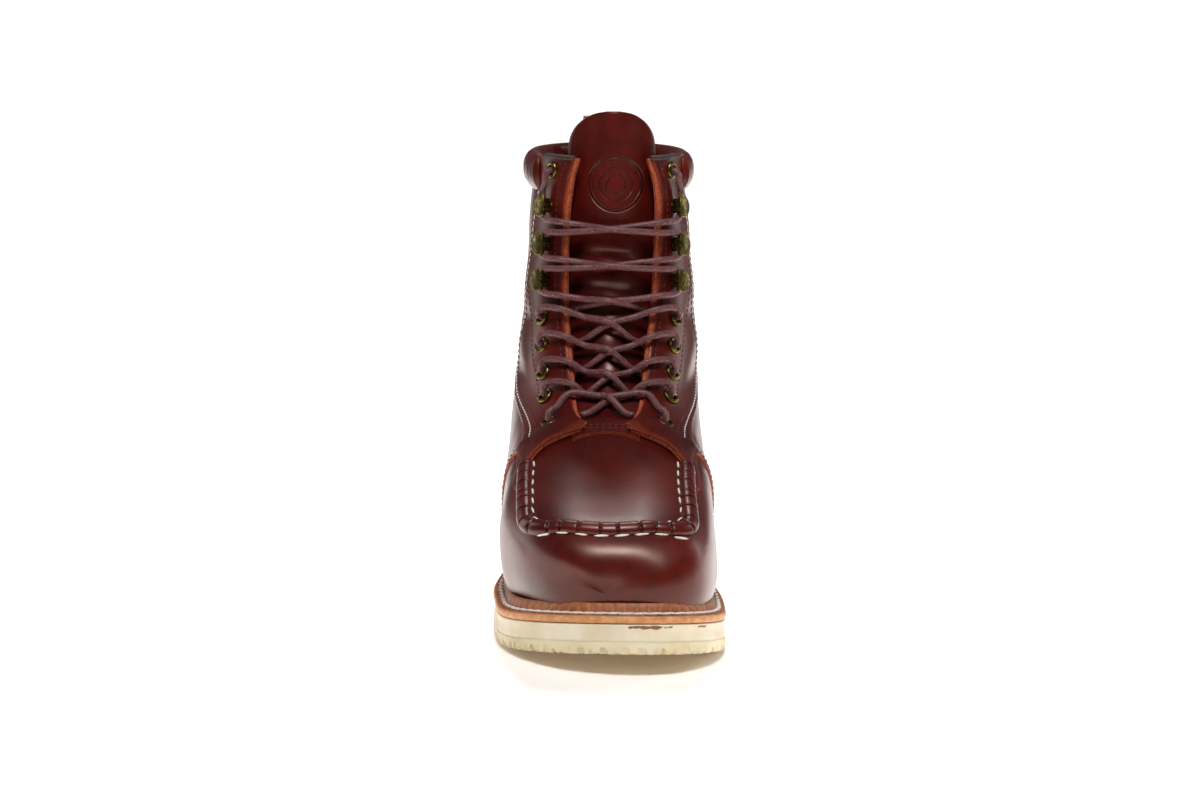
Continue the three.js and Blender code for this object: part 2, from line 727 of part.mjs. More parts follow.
function tongue() {
  const rows = [];
  for (let row = tongueBaseRow; row < throatRow + 2; row += 0.3) rows.push(row);
  for (let row = throatRow + 2; row < collarRow; row += 1) rows.push(row);
  for (let step = 0; step <= 5; step += 1) {
    rows.push(mix(collarRow, tongueTopRow, Math.sin(Math.PI / 2 * step / 5)));
  }
  const shares = [-1, -0.75, -0.4, 0, 0.4, 0.75, 1];
  const grid = (depth) => rows.map((row) => shares.map((share) => tonguePoint(row, share, depth)));
  return sheetSolid(grid(0), grid(tongueThickness));
}

// The insole fills the lining's foot, on the midsole
function insole() {
  const bed = solidOf(layer([[even(weltWidth - 3), above(clearance)],
    [even(weltWidth - 3), above(clearance + insoleThickness)]]));
  const foot = upperForm(liningRows, liningCount, () => -upperWall - clearance);
  return geometryOf(bed.intersect(foot));
}

// The pull loop is a folded strip sewn inside the collar at the back
function pullLoop() {
  const back = sectionAt(collarRow).back;
  const inside = upperWall + clearance + loopThickness;
  const shape = new THREE.Shape();
  const [foot, top] = [collarHeight - loopRise, collarHeight + loopRise];
  const outer = loopThickness * 2 + 1;
  shape.moveTo(0, foot);
  shape.lineTo(outer, foot);
  shape.lineTo(outer, top - outer / 2);
  shape.absarc(outer / 2, top - outer / 2, outer / 2, 0, Math.PI, false);
  shape.lineTo(0, foot);
  const slot = new THREE.Path();
  slot.moveTo(loopThickness, foot + 8);
  slot.lineTo(loopThickness, top - outer / 2);
  slot.lineTo(outer - loopThickness, top - outer / 2);
  slot.lineTo(outer - loopThickness, foot + 8);
  shape.holes.push(slot);
  const loop = new THREE.ExtrudeGeometry(shape,
    { depth: loopWidth, bevelEnabled: false, curveSegments: 6 });
  loop.translate(0, 0, -loopWidth / 2);
  loop.applyMatrix4(new THREE.Matrix4().makeBasis(
    new THREE.Vector3(0, 1, 0), new THREE.Vector3(0, 0, 1), new THREE.Vector3(1, 0, 0)));
  loop.translate(back.x, back.y - inside - outer - collarRoll, 0);
  return loop;
}

// A cord's curve steps evenly from point to point, so that its points stand closer in tight bends
class CordCurve extends THREE.CatmullRomCurve3 {
  getPointAt(share) {
    return this.getPoint(share);
  }

  getTangentAt(share) {
    return this.getTangent(share);
  }
}

const laceRadius = laceDiameter / 2;

function laceTube(points) {
  const section = new THREE.Shape();
  section.absarc(0, 0, laceRadius, 0, 2 * Math.PI, false);
  return solidOf(new THREE.ExtrudeGeometry(section, {
    steps: points.length - 1,
    curveSegments: 4,
    bevelEnabled: false,
    extrudePath: new CordCurve(points),
  }));
}

// A lace's centre over the tongue or over the facing, at a height and a distance across
function laceOverTongue(height, across, lift) {
  const row = bisect(throatRow - 1, lastRow - 1, (value) => frontPoint(value, across).z - height);
  const out = tongueFace(row, across) + laceRadius + 2 * clearance + lift;
  return frontPoint(row, across).addScaledVector(frontNormal(row, across), out);
}

function laceOverFacing(height, across, lift) {
  const row = bisect(throatRow - 1, lastRow - 1, (value) => frontPoint(value, across).z - height);
  const out = facingOut + laceRadius + 2 * clearance + lift;
  return frontPoint(row, across).addScaledVector(frontNormal(row, across), out);
}

// Into an eyelet from outside, coming from the throat
const intoEyelet = (eyelet) => [
  eyelet.point(-5.2, 3.2, facingOut + 3.9),
  eyelet.point(-2.4, 1.5, facingOut + 4.0),
  eyelet.point(-0.7, 0.4, facingOut + 2.5),
  eyelet.point(0, 0, facingOut - 0.8),
];

// Under a hook's plate, outside its neck
const underHook = facingOut + clearance + hookFoot + clearance + laceRadius;
const hookAway = 0.6;

function lacePath(lower, upper, sign) {
  const [from, to] = [lower.places[sign > 0 ? 1 : 0], upper.places[sign > 0 ? 0 : 1]];
  const rise = upper.height - lower.height;
  const edge = (height) => throatHalf(height);
  const points = [];
  if (lower.hooks) {
    points.push(from.point(hookAway, 0.4, underHook));
    points.push(from.point(hookAway, 4.4, underHook));
    points.push(laceOverFacing(lower.height + 8.6, -sign * (edge(lower.height) + 5.2), 0.9));
    points.push(laceOverFacing(lower.height + 8.8, -sign * edge(lower.height), 0.6));
  } else {
    const start = lower.height + rise * 0.3;
    points.push(laceOverTongue(start, -sign * (edge(start) - laceRadius - 2 * clearance), 0));
    points.push(laceOverTongue(start + rise * 0.1, -sign * edge(start) * 0.6, 0.6));
  }
  const crest = upper.hooks ? upper.height - 8.2 : upper.height + 4.6;
  const start = lower.hooks ? lower.height + 8.8 : lower.height + rise * 0.4;
  points.push(laceOverTongue((start + crest) / 2, 0, 0.7));
  points.push(laceOverTongue(mix(start, crest, 0.8), sign * edge(upper.height) * 0.6, upper.hooks ? 3.4 : 2.6));
  points.push(laceOverFacing(crest, sign * edge(upper.height), 0.8));
  if (upper.hooks) {
    points.push(laceOverFacing(crest + 0.2, sign * (edge(upper.height) + 5.2), 0.9));
    points.push(to.point(hookAway, -4.4, underHook));
    points.push(to.point(hookAway, -0.4, underHook));
  } else {
    points.push(...intoEyelet(to));
  }
  return points;
}

function crossing(lower, upper) {
  return laceTube(lacePath(lower, upper, 1)).add(laceTube(lacePath(lower, upper, -1)));
}

// The lowest run lies over the facings' corners, from eyelet to eyelet
function bottomBar() {
  const row = laceRows[0];
  const corner = throatHalf(row.height + 9);
  const half = (sign, place) => [
    place.point(0, 0, facingOut - 0.8),
    place.point(-0.5, 0.9, facingOut + 2.5),
    place.point(-2, 3, facingOut + 4),
    place.point(-5, 5.6, facingOut + 3.6),
    laceOverFacing(row.height + 10.6, sign * (corner + 1), 0.3),
  ];
  const [right, left] = row.places;
  return laceTube([...half(1, right), laceOverTongue(row.height + 10.4, 0, 2.4),
    ...half(-1, left).reverse()]);
}

// Above the top hooks each end runs up its own side into the top eyelet
function laceEnd(from, to) {
  return laceTube([
    from.point(hookAway, 0.4, underHook),
    from.point(hookAway, 4.4, underHook),
    from.point(hookAway, 8.2, facingOut + 3.4),
    to.point(0.4, -5.4, facingOut + 3.7),
    to.point(0.3, -2.6, facingOut + 3.8),
    to.point(0, -0.7, facingOut + 2.4),
    to.point(0, 0, facingOut - 0.8),
  ]);
}

const finishes = {
  cream_rubber: { color: 0xf0dcae, roughness: 0.75, metalness: 0 },
  pale_rubber: { color: 0xf0e4c8, roughness: 0.8, metalness: 0 },
  welt_leather: { color: 0xb87048, roughness: 0.6, metalness: 0 },
  oxblood_leather: { color: 0x5a1512, roughness: 0.3, metalness: 0 },
  lining_leather: { color: 0x6d5a4c, roughness: 0.8, metalness: 0 },
  antique_brass: { color: 0x6b5a20, roughness: 0.4, metalness: 1 },
  waxed_lace: { color: 0x6e3d3f, roughness: 0.6, metalness: 0 },
};

const boot = new THREE.Group();

function addPiece(name, geometry, finish) {
  const flat = geometry.index ? geometry : mergeVertices(geometry);
  const mesh = new THREE.Mesh(flat, new THREE.MeshStandardMaterial(finishes[finish]));
  mesh.name = name;
  boot.add(mesh);
  return mesh;
}

function addPlaced(name, geometry, finish, at) {
  const mesh = addPiece(name, geometry, finish);
  const turn = new THREE.Matrix4().makeBasis(at.away, at.up.clone().multiplyScalar(at.sign), at.out);
  mesh.setRotationFromMatrix(turn);
  mesh.position.copy(at.point(0, 0, facingOut + clearance));
}

addPiece('outsole', outsole(), 'cream_rubber');
addPiece('midsole', midsole(), 'pale_rubber');
addPiece('welt', welt(), 'welt_leather');
addPiece('upper', upper(), 'oxblood_leather');
addPiece('insole', insole(), 'lining_leather');
addPiece('tongue', tongue(), 'oxblood_leather');
addPiece('pull_loop', pullLoop(), 'oxblood_leather');

laceRows.forEach((row) => row.places.forEach((at) => {
  const kind = row.hooks ? 'lace_hook' : 'eyelet';
  addPlaced(`${kind}_${row.name}_${at.side}`, row.hooks ? hookShape() : eyeletShape(), 'antique_brass', at);
}));

addPiece('lace_bottom', geometryOf(bottomBar().add(crossing(laceRows[0], laceRows[1]))), 'waxed_lace');
for (let row = 1; row < laceRows.length - 2; row += 1) {
  addPiece(`lace_cross_${row}`, geometryOf(crossing(laceRows[row], laceRows[row + 1])), 'waxed_lace');
}
[0, 1].forEach((side) => {
  const [from, to] = laceRows.slice(-2).map((row) => row.places[side]);
  addPiece(`lace_end_${from.side}`, geometryOf(laceEnd(from, to)), 'waxed_lace');
});

export default boot;
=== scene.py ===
# A right lace-up work boot with a moccasin toe and a wedge sole, standing empty on a pale floor.
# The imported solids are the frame, and each real piece is dressed over the solid it stands for.
# Lengths are in millimetres until a mesh is made, which is in metres.
import math

import bmesh
import bpy
import numpy as np
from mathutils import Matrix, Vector


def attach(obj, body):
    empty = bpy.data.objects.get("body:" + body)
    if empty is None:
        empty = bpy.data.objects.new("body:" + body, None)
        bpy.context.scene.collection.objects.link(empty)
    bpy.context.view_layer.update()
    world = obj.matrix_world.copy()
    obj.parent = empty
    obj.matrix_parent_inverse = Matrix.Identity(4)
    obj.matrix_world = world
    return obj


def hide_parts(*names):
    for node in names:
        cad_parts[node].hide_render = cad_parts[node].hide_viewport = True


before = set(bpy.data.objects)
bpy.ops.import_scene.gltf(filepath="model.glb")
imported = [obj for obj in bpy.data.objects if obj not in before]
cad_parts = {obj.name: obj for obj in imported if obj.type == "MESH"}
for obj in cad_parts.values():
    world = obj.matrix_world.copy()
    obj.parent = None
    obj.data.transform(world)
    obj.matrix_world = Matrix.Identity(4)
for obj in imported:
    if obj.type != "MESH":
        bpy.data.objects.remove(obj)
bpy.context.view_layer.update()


# The camera stands in front of the toe, a little above it and to the big toe's side.
# It is a long lens at product distance, so the boot keeps its upright lines.
camera_data = bpy.data.cameras.new("camera")
camera_data.lens = 88.0
camera_data.sensor_width = 36.0
camera_data.clip_end = 120.0
camera = bpy.data.objects.new("camera", camera_data)
camera.location = (0.02976, -1.4686, 0.348)
camera.rotation_euler = (math.radians(90 - 9.37), 0, 0.02356)
bpy.context.scene.collection.objects.link(camera)
bpy.context.scene.camera = camera


# The outsole is one moulded sheet of cream crepe-like rubber, cemented under the wedge.
# Its tread is a field of small blocks, and they leave the lumpy lower edge that shows all round.
sole_length = 300
ball_width = 112
toe_spring = 11
outsole_thickness = 6
fore_midsole = 8.5
heel_lift = 18.5
toe_round = 64
heel_round = 40
toe_swing = 0.22
swing_length = 0.34
clearance = 0.3
toe_middle = ball_width * 0.09


def read_table(table, key, column):
    """A smooth curve through a table's rows, read at one key or at many."""
    rows = np.array(table, float)
    key = np.asarray(key, float)
    keys, values = rows[:, 0], rows[:, column]
    at = np.clip(np.searchsorted(keys, key) - 1, 0, len(rows) - 2)
    before, after = np.maximum(at - 1, 0), np.minimum(at + 2, len(rows) - 1)
    span = keys[at + 1] - keys[at]
    share = np.clip((key - keys[at]) / span, 0, 1)
    leave = (values[at + 1] - values[before]) / (keys[at + 1] - keys[before]) * span
    arrive = (values[after] - values[at]) / (keys[after] - keys[at]) * span
    square, cube = share**2, share**3
    return (
        values[at] * (2 * cube - 3 * square + 1)
        + leave * (cube - 2 * square + share)
        + values[at + 1] * (3 * square - 2 * cube)
        + arrive * (cube - square)
    )


def mix(start, end, share):
    return start + (end - start) * share


def smooth(low, high, value):
    share = np.clip((value - low) / (high - low), 0, 1)
    return share * share * (3 - 2 * share)


def bell(value, middle, width):
    return np.exp(-(((value - middle) / width) ** 2))


# along as a share of the length from the toe, then the middle and half as shares of ball width
SOLE_PLAN = [
    (0.00, 0.030, 0.452),
    (0.14, 0.030, 0.484),
    (0.27, 0.012, 0.500),
    (0.36, -0.012, 0.493),
    (0.50, -0.032, 0.425),
    (0.62, -0.030, 0.372),
    (0.76, -0.012, 0.352),
    (0.90, 0.000, 0.350),
    (1.00, 0.000, 0.345),
]
# along, then the floor as a share of toe spring and the lift as a share of the heel's lift
SOLE_SIDE = [
    (0.00, 1.00, 0.00),
    (0.07, 0.62, 0.00),
    (0.14, 0.28, 0.00),
    (0.21, 0.06, 0.00),
    (0.27, 0.00, 0.00),
    (0.36, 0.00, 0.03),
    (0.48, 0.00, 0.16),
    (0.62, 0.00, 0.50),
    (0.76, 0.00, 0.86),
    (0.88, 0.00, 0.98),
    (1.00, 0.00, 1.00),
]


def place(along):
    return along - sole_length / 2


def share_of(y):
    return np.clip(y / sole_length + 0.5, 0, 1)


def floor_at(y):
    return toe_spring * np.maximum(read_table(SOLE_SIDE, share_of(y), 1), 0)


def midsole_top(y):
    lift = read_table(SOLE_SIDE, share_of(y), 2)
    return floor_at(y) + outsole_thickness + fore_midsole + heel_lift * lift


def round_end(share, power):
    return (1 - (1 - np.clip(share, 0, 1)) ** power) ** (1 / power)


def swing_at(x, y):
    return toe_swing * (x - toe_middle) * (1 - smooth(0, swing_length, share_of(y)))


def even_steps(points, count):
    """The same open line, with equal steps from point to point."""
    steps = np.linalg.norm(np.diff(points, axis=0), axis=1)
    run = np.concatenate([[0], np.cumsum(steps)])
    want = np.linspace(0, run[-1], count)
    return np.stack([np.interp(want, run, points[:, axis]) for axis in range(points.shape[1])], 1)


def sole_side(side, count):
    turn = np.linspace(0, np.pi, 1600)
    along = sole_length * (1 - np.cos(turn)) / 2
    ends = round_end(along / toe_round, 2.3) * round_end((sole_length - along) / heel_round, 2.1)
    half = ball_width * read_table(SOLE_PLAN, along / sole_length, 2) * ends
    x = ball_width * read_table(SOLE_PLAN, along / sole_length, 1) + side * half
    return even_steps(np.stack([x, place(along) - swing_at(x, place(along))], 1), count)


side_count = 520
inner_edge = sole_side(1, side_count)
outer_edge = sole_side(-1, side_count)
sole_edge = np.concatenate([inner_edge, outer_edge[1:-1][::-1]])


def inset_edge(inset):
    """The sole's edge moved inwards, on its own normals."""
    run = np.roll(sole_edge, -2, axis=0) - np.roll(sole_edge, 2, axis=0)
    run /= np.linalg.norm(run, axis=1)[:, None]
    return sole_edge + np.stack([-run[:, 1], run[:, 0]], 1) * np.asarray(inset).reshape(-1, 1)


def hex_colour(text):
    """An sRGB hex colour as the linear one that the shader takes."""
    parts = [int(text[at : at + 2], 16) / 255 for at in (1, 3, 5)]
    linear = [v / 12.92 if v <= 0.04045 else ((v + 0.055) / 1.055) ** 2.4 for v in parts]
    return (*linear, 1.0)


def add_node(tree, kind, settings=None, stops=(), **inputs):
    """A node with its settings, a ramp's stops, and its inputs, each a value or a socket."""
    node = tree.nodes.new(kind)
    for name, value in (settings or {}).items():
        setattr(node, name, value)
    while stops and len(node.color_ramp.elements) < len(stops):
        node.color_ramp.elements.new(0.5)
    for number, (position, colour) in enumerate(stops):
        node.color_ramp.elements[number].position = position
        node.color_ramp.elements[number].color = hex_colour(colour)
    for name, value in inputs.items():
        wanted = name.replace("_", " ").strip()
        at = int(wanted[1:]) if wanted[0] == "i" and wanted[1:].isdigit() else None
        sockets = list(node.inputs)
        socket = sockets[at] if at is not None else next(
            s for s in sockets if s.name.lower() == wanted.lower() and s.enabled
        )
        if isinstance(value, bpy.types.NodeSocket):
            tree.links.new(value, socket)
        else:
            socket.default_value = value
    return node


def new_finish(name):
    """An empty material with its shader, ready for this finish's own nodes."""
    material = bpy.data.materials.new(name)
    material.use_nodes = True
    tree = material.node_tree
    shader = tree.nodes["Principled BSDF"]
    return material, tree, shader


def new_piece(name, points, faces, materials, finish_of_face=None, flags=None, flat=False):
    """A mesh object at the origin, from points in millimetres."""
    mesh = bpy.data.meshes.new(name)
    mesh.from_pydata((np.asarray(points, float) * 0.001).tolist(), [], faces)
    for material in materials:
        mesh.materials.append(material)
    if finish_of_face is not None:
        mesh.polygons.foreach_set("material_index", np.asarray(finish_of_face, np.int32))
    if not flat:
        mesh.polygons.foreach_set("use_smooth", np.ones(len(mesh.polygons), bool))
    for key, values in (flags or {}).items():
        attribute = mesh.attributes.new(key, "FLOAT", "POINT")
        attribute.data.foreach_set("value", np.asarray(values, np.float32))
    mesh.update()
    piece = bpy.data.objects.new(name, mesh)
    bpy.context.scene.collection.objects.link(piece)
    return piece


def outward_faces(piece):
    """The same piece, with every face turned out."""
    fixing = bmesh.new()
    fixing.from_mesh(piece.data)
    bmesh.ops.recalc_face_normals(fixing, faces=fixing.faces)
    fixing.to_mesh(piece.data)
    fixing.free()
    return piece


def ring_faces(rings, count, start=0, lids=False, joined=False):
    """Faces between closed rings that climb anticlockwise, with lids or joined last to first."""
    here = start + np.arange(rings - 1)[:, None] * count + np.arange(count)[None, :]
    step = start + np.arange(rings - 1)[:, None] * count + (np.arange(count)[None, :] + 1) % count
    faces = np.stack([here, step, step + count, here + count], -1).reshape(-1, 4).tolist()
    around = np.arange(count)
    turned = np.roll(around, -1)
    last = (rings - 1) * count
    if lids:
        faces += [around[::-1].tolist(), (last + around).tolist()]
    if joined:
        faces += np.stack([last + around, last + turned, turned, around], 1).tolist()
    return faces


def grid_faces(rows, columns, start=0):
    here = start + np.arange(rows - 1)[:, None] * columns + np.arange(columns - 1)[None, :]
    return np.stack([here, here + 1, here + columns + 1, here + columns], -1).reshape(-1, 4)


def sheet_faces(rows, columns):
    """Front, back and edge faces of a closed sheet whose back points follow its front ones."""
    front = grid_faces(rows, columns)
    back = (front + rows * columns)[:, ::-1]
    edge = [(i, 0) for i in range(rows)] + [(rows - 1, j) for j in range(1, columns)]
    edge += [(i, columns - 1) for i in range(rows - 2, -1, -1)]
    edge += [(0, j) for j in range(columns - 2, 0, -1)]
    loop = np.array([i * columns + j for i, j in edge])
    after = np.roll(loop, -1)
    walls = np.stack([after, loop, loop + rows * columns, after + rows * columns], 1)
    return front, back, walls


def dress(piece, slot, *nodes):
    """The finished piece rides on the boot and stands for its solids; the slot is not used."""
    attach(piece, "root")
    if nodes:
        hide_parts(*nodes)
    return piece


# Moulded crepe-like rubber: dull, faintly waxy, yellower than the wedge, with a fine open pore
crepe, tree, shader = new_finish("cream_crepe_rubber")
where = add_node(tree, "ShaderNodeTexCoord").outputs["Object"]
cloud = add_node(tree, "ShaderNodeTexNoise", Vector=where, Scale=45.0, Detail=5.0)
tree.links.new(
    add_node(tree, "ShaderNodeValToRGB", Fac=cloud.outputs["Fac"],
             stops=[(0.3, "#d3c39c"), (0.5, "#e3d4ae"), (0.72, "#ede2c6")]).outputs["Color"],
    shader.inputs["Base Color"],
)
pores = add_node(tree, "ShaderNodeTexNoise", Vector=where, Scale=900.0, Detail=4.0, Roughness=0.7)
bump = add_node(tree, "ShaderNodeBump", Strength=0.35, Distance=0.0004, Height=pores.outputs["Fac"])
tree.links.new(bump.outputs["Normal"], shader.inputs["Normal"])
shader.inputs["Roughness"].default_value = 0.62
shader.inputs["IOR"].default_value = 1.52
shader.inputs["Subsurface Weight"].default_value = 0.12
shader.inputs["Subsurface Radius"].default_value = (1.0, 0.7, 0.4)
shader.inputs["Subsurface Scale"].default_value = 0.002

lug_pitch = 7.0
lug_depth = 3.0
edge_count = len(sole_edge)


def tread_at(x, y):
    """How far the tread is up from its blocks' faces: blocks on a skewed grid, worn unevenly."""
    wander = 0.9 * np.sin(x * 0.37 + y * 0.11) + 0.7 * np.sin(y * 0.53 - x * 0.23)
    wave = np.cos(2 * np.pi * (x + wander) / lug_pitch) * np.cos(2 * np.pi * (y + wander) / lug_pitch)
    ragged = 0.16 * np.sin(x * 1.9 + 1.3 * np.sin(y * 1.1)) + 0.12 * np.sin(y * 2.3 + x * 0.7)
    return lug_depth * np.clip(smooth(-0.15, 0.35, wave + ragged), 0, 1)


# The underside runs across from one side of the edge to the other, and the wall climbs from it
across_count = 44
shares = np.linspace(0, 1, across_count)[None, :, None]
lower_inner = inset_edge(1.0)[:side_count]
lower_outer = np.concatenate([inset_edge(1.0)[:1], inset_edge(1.0)[side_count - 1 :][::-1]])
underside = mix(lower_outer[:, None, :], lower_inner[:, None, :], shares)
under_z = floor_at(underside[..., 1]) + tread_at(underside[..., 0], underside[..., 1])
under_points = np.dstack([underside, under_z])[1:-1]
wall_rings = []
for inset, height, tread in [(1.0, 0, 1), (0.3, 0.4, 1.0), (0.0, 1.2, 0.75), (-0.05, 2.4, 0.4),
                             (0.05, 3.6, 0), (0.1, 4.8, 0), (0.14, 5.95, 0), (0.5, 6.05, 0),
                             (6, 6.05, 0)]:
    ring = inset_edge(inset)
    raised = floor_at(ring[:, 1]) + height + tread * tread_at(ring[:, 0], ring[:, 1]) * (height < 3)
    wall_rings.append(np.column_stack([ring, np.maximum(raised, 0)]))
points = np.concatenate(wall_rings)
faces = ring_faces(len(wall_rings), edge_count)
row_index = np.arange(1, side_count - 1)
left_border = (edge_count - row_index) % edge_count
start = len(points)
inside_columns = across_count - 2
points = np.concatenate([points, under_points[:, 1:-1].reshape(-1, 3)])
index = np.empty((side_count - 2, across_count), int)
index[:, 0] = left_border
index[:, -1] = row_index
index[:, 1:-1] = start + np.arange((side_count - 2) * inside_columns).reshape(side_count - 2, -1)
tread_faces = np.stack([index[:-1, :-1], index[1:, :-1], index[1:, 1:], index[:-1, 1:]], -1)
faces += tread_faces.reshape(-1, 4).tolist()
faces.append([0, *index[0].tolist()])
faces.append([side_count - 1, *index[-1][::-1].tolist()])
lid = (len(wall_rings) - 1) * edge_count
faces.append((lid + np.arange(edge_count)).tolist())
outsole = new_piece("outsole_dressed", points, faces, [crepe])
dress(outsole, "cream_rubber", "outsole")


# The wedge midsole is closed-cell rubber, sanded flush with the welt after it is cemented on.
# It is paler than the outsole, with a faint seam line and flecks of brown cement under the welt.
wedge_foam, tree, shader = new_finish("sanded_cell_rubber")
where = add_node(tree, "ShaderNodeTexCoord").outputs["Object"]
cloud = add_node(tree, "ShaderNodeTexNoise", Vector=where, Scale=60.0, Detail=4.0)
base = add_node(tree, "ShaderNodeValToRGB", Fac=cloud.outputs["Fac"],
                stops=[(0.3, "#ddceae"), (0.52, "#e8dcc2"), (0.75, "#efe6d2")]).outputs["Color"]
under_welt = add_node(tree, "ShaderNodeAttribute", {"attribute_name": "under_welt"}).outputs["Fac"]
fleck_noise = add_node(tree, "ShaderNodeTexNoise", Vector=where, Scale=170.0, Detail=2.0, Roughness=0.4)
sparse = add_node(tree, "ShaderNodeTexNoise", Vector=where, Scale=38.0, Detail=1.0)
spots = add_node(tree, "ShaderNodeMath", {"operation": "MULTIPLY"}, i0=fleck_noise.outputs["Fac"],
                 i1=sparse.outputs["Fac"])
spots = add_node(tree, "ShaderNodeMath", {"operation": "MULTIPLY"}, i0=spots.outputs[0], i1=under_welt)
mask = add_node(tree, "ShaderNodeMapRange", Value=spots.outputs[0], From_Min=0.3, From_Max=0.315)
fleck = add_node(tree, "ShaderNodeMix", {"data_type": "RGBA"}, i0=mask.outputs[0], i6=base,
                 i7=hex_colour("#8a5a3c"))
tree.links.new(fleck.outputs[2], shader.inputs["Base Color"])
grit = add_node(tree, "ShaderNodeTexNoise", Vector=where, Scale=1500.0, Detail=3.0)
bump = add_node(tree, "ShaderNodeBump", Strength=0.25, Distance=0.0003, Height=grit.outputs["Fac"])
tree.links.new(bump.outputs["Normal"], shader.inputs["Normal"])
shader.inputs["Roughness"].default_value = 0.72
shader.inputs["IOR"].default_value = 1.5
shader.inputs["Subsurface Weight"].default_value = 0.1
shader.inputs["Subsurface Scale"].default_value = 0.002

wedge_rings = []
wedge_flags = []
start_up = outsole_thickness + 0.1
for inset, share, rise in [(5, 0, 0), (0.3, 0, 0), (0.14, 0, 0.25), (0.3, 0.2, 0), (0.75, 0.4, 0),
                           (0.8, 0.55, 0), (0.65, 0.7, 0), (0.45, 0.85, 0), (0.3, 1, -0.9),
                           (0.45, 1, -0.25), (1.0, 1, 0), (9, 1, 0)]:
    ring = inset_edge(inset)
    low = floor_at(ring[:, 1]) + start_up
    high = midsole_top(ring[:, 1])
    height = mix(low, high, share) + rise
    wedge_rings.append(np.column_stack([ring, height]))
    wedge_flags.append(bell(high - height, 1.6, 1.5))
points = np.concatenate(wedge_rings)
faces = ring_faces(len(wedge_rings), edge_count, lids=True)
midsole = new_piece("wedge_dressed", points, faces, [wedge_foam],
                    flags={"under_welt": np.concatenate(wedge_flags)})
dress(midsole, "pale_rubber", "midsole")


# The storm welt is a strip of vegetable-tanned leather, stitched to the upper and down to the wedge.
# Its rim stands up against the upper to keep water out, and awl holes and white lockstitch run round it.
stitch_pitch = 6.3

welt_leather, tree, shader = new_finish("vegetable_tanned_welt")
where = add_node(tree, "ShaderNodeTexCoord").outputs["Object"]
cloud = add_node(tree, "ShaderNodeTexNoise", Vector=where, Scale=90.0, Detail=6.0, Roughness=0.65)
top = add_node(tree, "ShaderNodeValToRGB", Fac=cloud.outputs["Fac"],
               stops=[(0.3, "#7f4526"), (0.5, "#9c5c37"), (0.75, "#bb7a4e")]).outputs["Color"]
edge_cloud = add_node(tree, "ShaderNodeTexNoise", Vector=where, Scale=260.0, Detail=6.0, Roughness=0.75)
edge = add_node(tree, "ShaderNodeValToRGB", Fac=edge_cloud.outputs["Fac"],
                stops=[(0.25, "#a8683a"), (0.5, "#c98a52"), (0.75, "#e2b27c")]).outputs["Color"]
cut = add_node(tree, "ShaderNodeAttribute", {"attribute_name": "cut_edge"}).outputs["Fac"]
body = add_node(tree, "ShaderNodeMix", {"data_type": "RGBA"}, i0=cut, i6=top, i7=edge)
hole = add_node(tree, "ShaderNodeAttribute", {"attribute_name": "awl_hole"}).outputs["Fac"]
body = add_node(tree, "ShaderNodeMix", {"data_type": "RGBA"}, i0=hole, i6=body.outputs[2],
                i7=hex_colour("#c4743a"))
tree.links.new(body.outputs[2], shader.inputs["Base Color"])
fibre = add_node(tree, "ShaderNodeTexNoise", Vector=where, Scale=1300.0, Detail=5.0, Roughness=0.7)
bump = add_node(tree, "ShaderNodeBump", Strength=0.4, Distance=0.0003, Height=fibre.outputs["Fac"])
tree.links.new(bump.outputs["Normal"], shader.inputs["Normal"])
shader.inputs["Roughness"].default_value = 0.5
shader.inputs["IOR"].default_value = 1.5

edge_run = np.concatenate([[0], np.cumsum(np.linalg.norm(np.diff(sole_edge, axis=0), axis=1))])
edge_length = edge_run[-1] + np.linalg.norm(sole_edge[0] - sole_edge[-1])
awl_count = round(edge_length / stitch_pitch)
awl_wave = 0.5 + 0.5 * np.cos(2 * np.pi * edge_run / edge_length * awl_count)
# inset, height over the wedge, then shares of cut edge, of awl hole and of the rim's ripple
WELT_PROFILE = [
    (9.6, 0.3, 0, 0, 0), (0.5, 0.3, 1, 0, 0), (0.1, 0.7, 1, 0, 0), (-0.15, 1.5, 1, 0, 0),
    (-0.1, 2.5, 1, 0, 0), (0.1, 3.3, 1, 0, 0), (0.5, 3.7, 0.6, 0, 0), (1.2, 3.95, 0, 0, 0),
    (2.1, 4.2, 0, 0, 0), (2.8, 4.2, 0, 0, 0),
    (3.6, 4.5, 0, 0, 0), (4.4, 5.0, 0, 0, 0.2), (4.9, 5.5, 0, 0.3, 0.6), (5.3, 6.4, 0, 1, 0.8),
    (5.7, 7.4, 0, 1, 0.8), (6.2, 8.5, 0, 0.2, 0.6), (6.8, 9.4, 0, 0, 0.4), (7.4, 9.8, 0.2, 0, 0.3),
    (8.2, 9.7, 0.3, 0, 0.2), (8.7, 9.0, 0.3, 0, 0), (9.6, 8.0, 0, 0, 0),
]
rings, cut_flags, hole_flags = [], [], []
for inset, height, cut_share, hole_share, ripple in WELT_PROFILE:
    sharp = awl_wave**6
    ring = inset_edge(inset + ripple * (0.5 * sharp - 0.15))
    ragged = 0.12 * np.sin(edge_run * 1.7) * np.sin(edge_run * 0.61) * cut_share
    rings.append(np.column_stack([ring, midsole_top(ring[:, 1]) + height - ripple * 0.35 * sharp + ragged]))
    cut_flags.append(np.full(edge_count, cut_share))
    hole_flags.append(hole_share * awl_wave**24)
points = np.concatenate(rings)
faces = ring_faces(len(rings), edge_count, joined=True)
flags = {"cut_edge": np.concatenate(cut_flags), "awl_hole": np.concatenate(hole_flags)}
welt = new_piece("storm_welt", points, faces, [welt_leather], flags=flags)
dress(welt, "welt_leather", "welt")

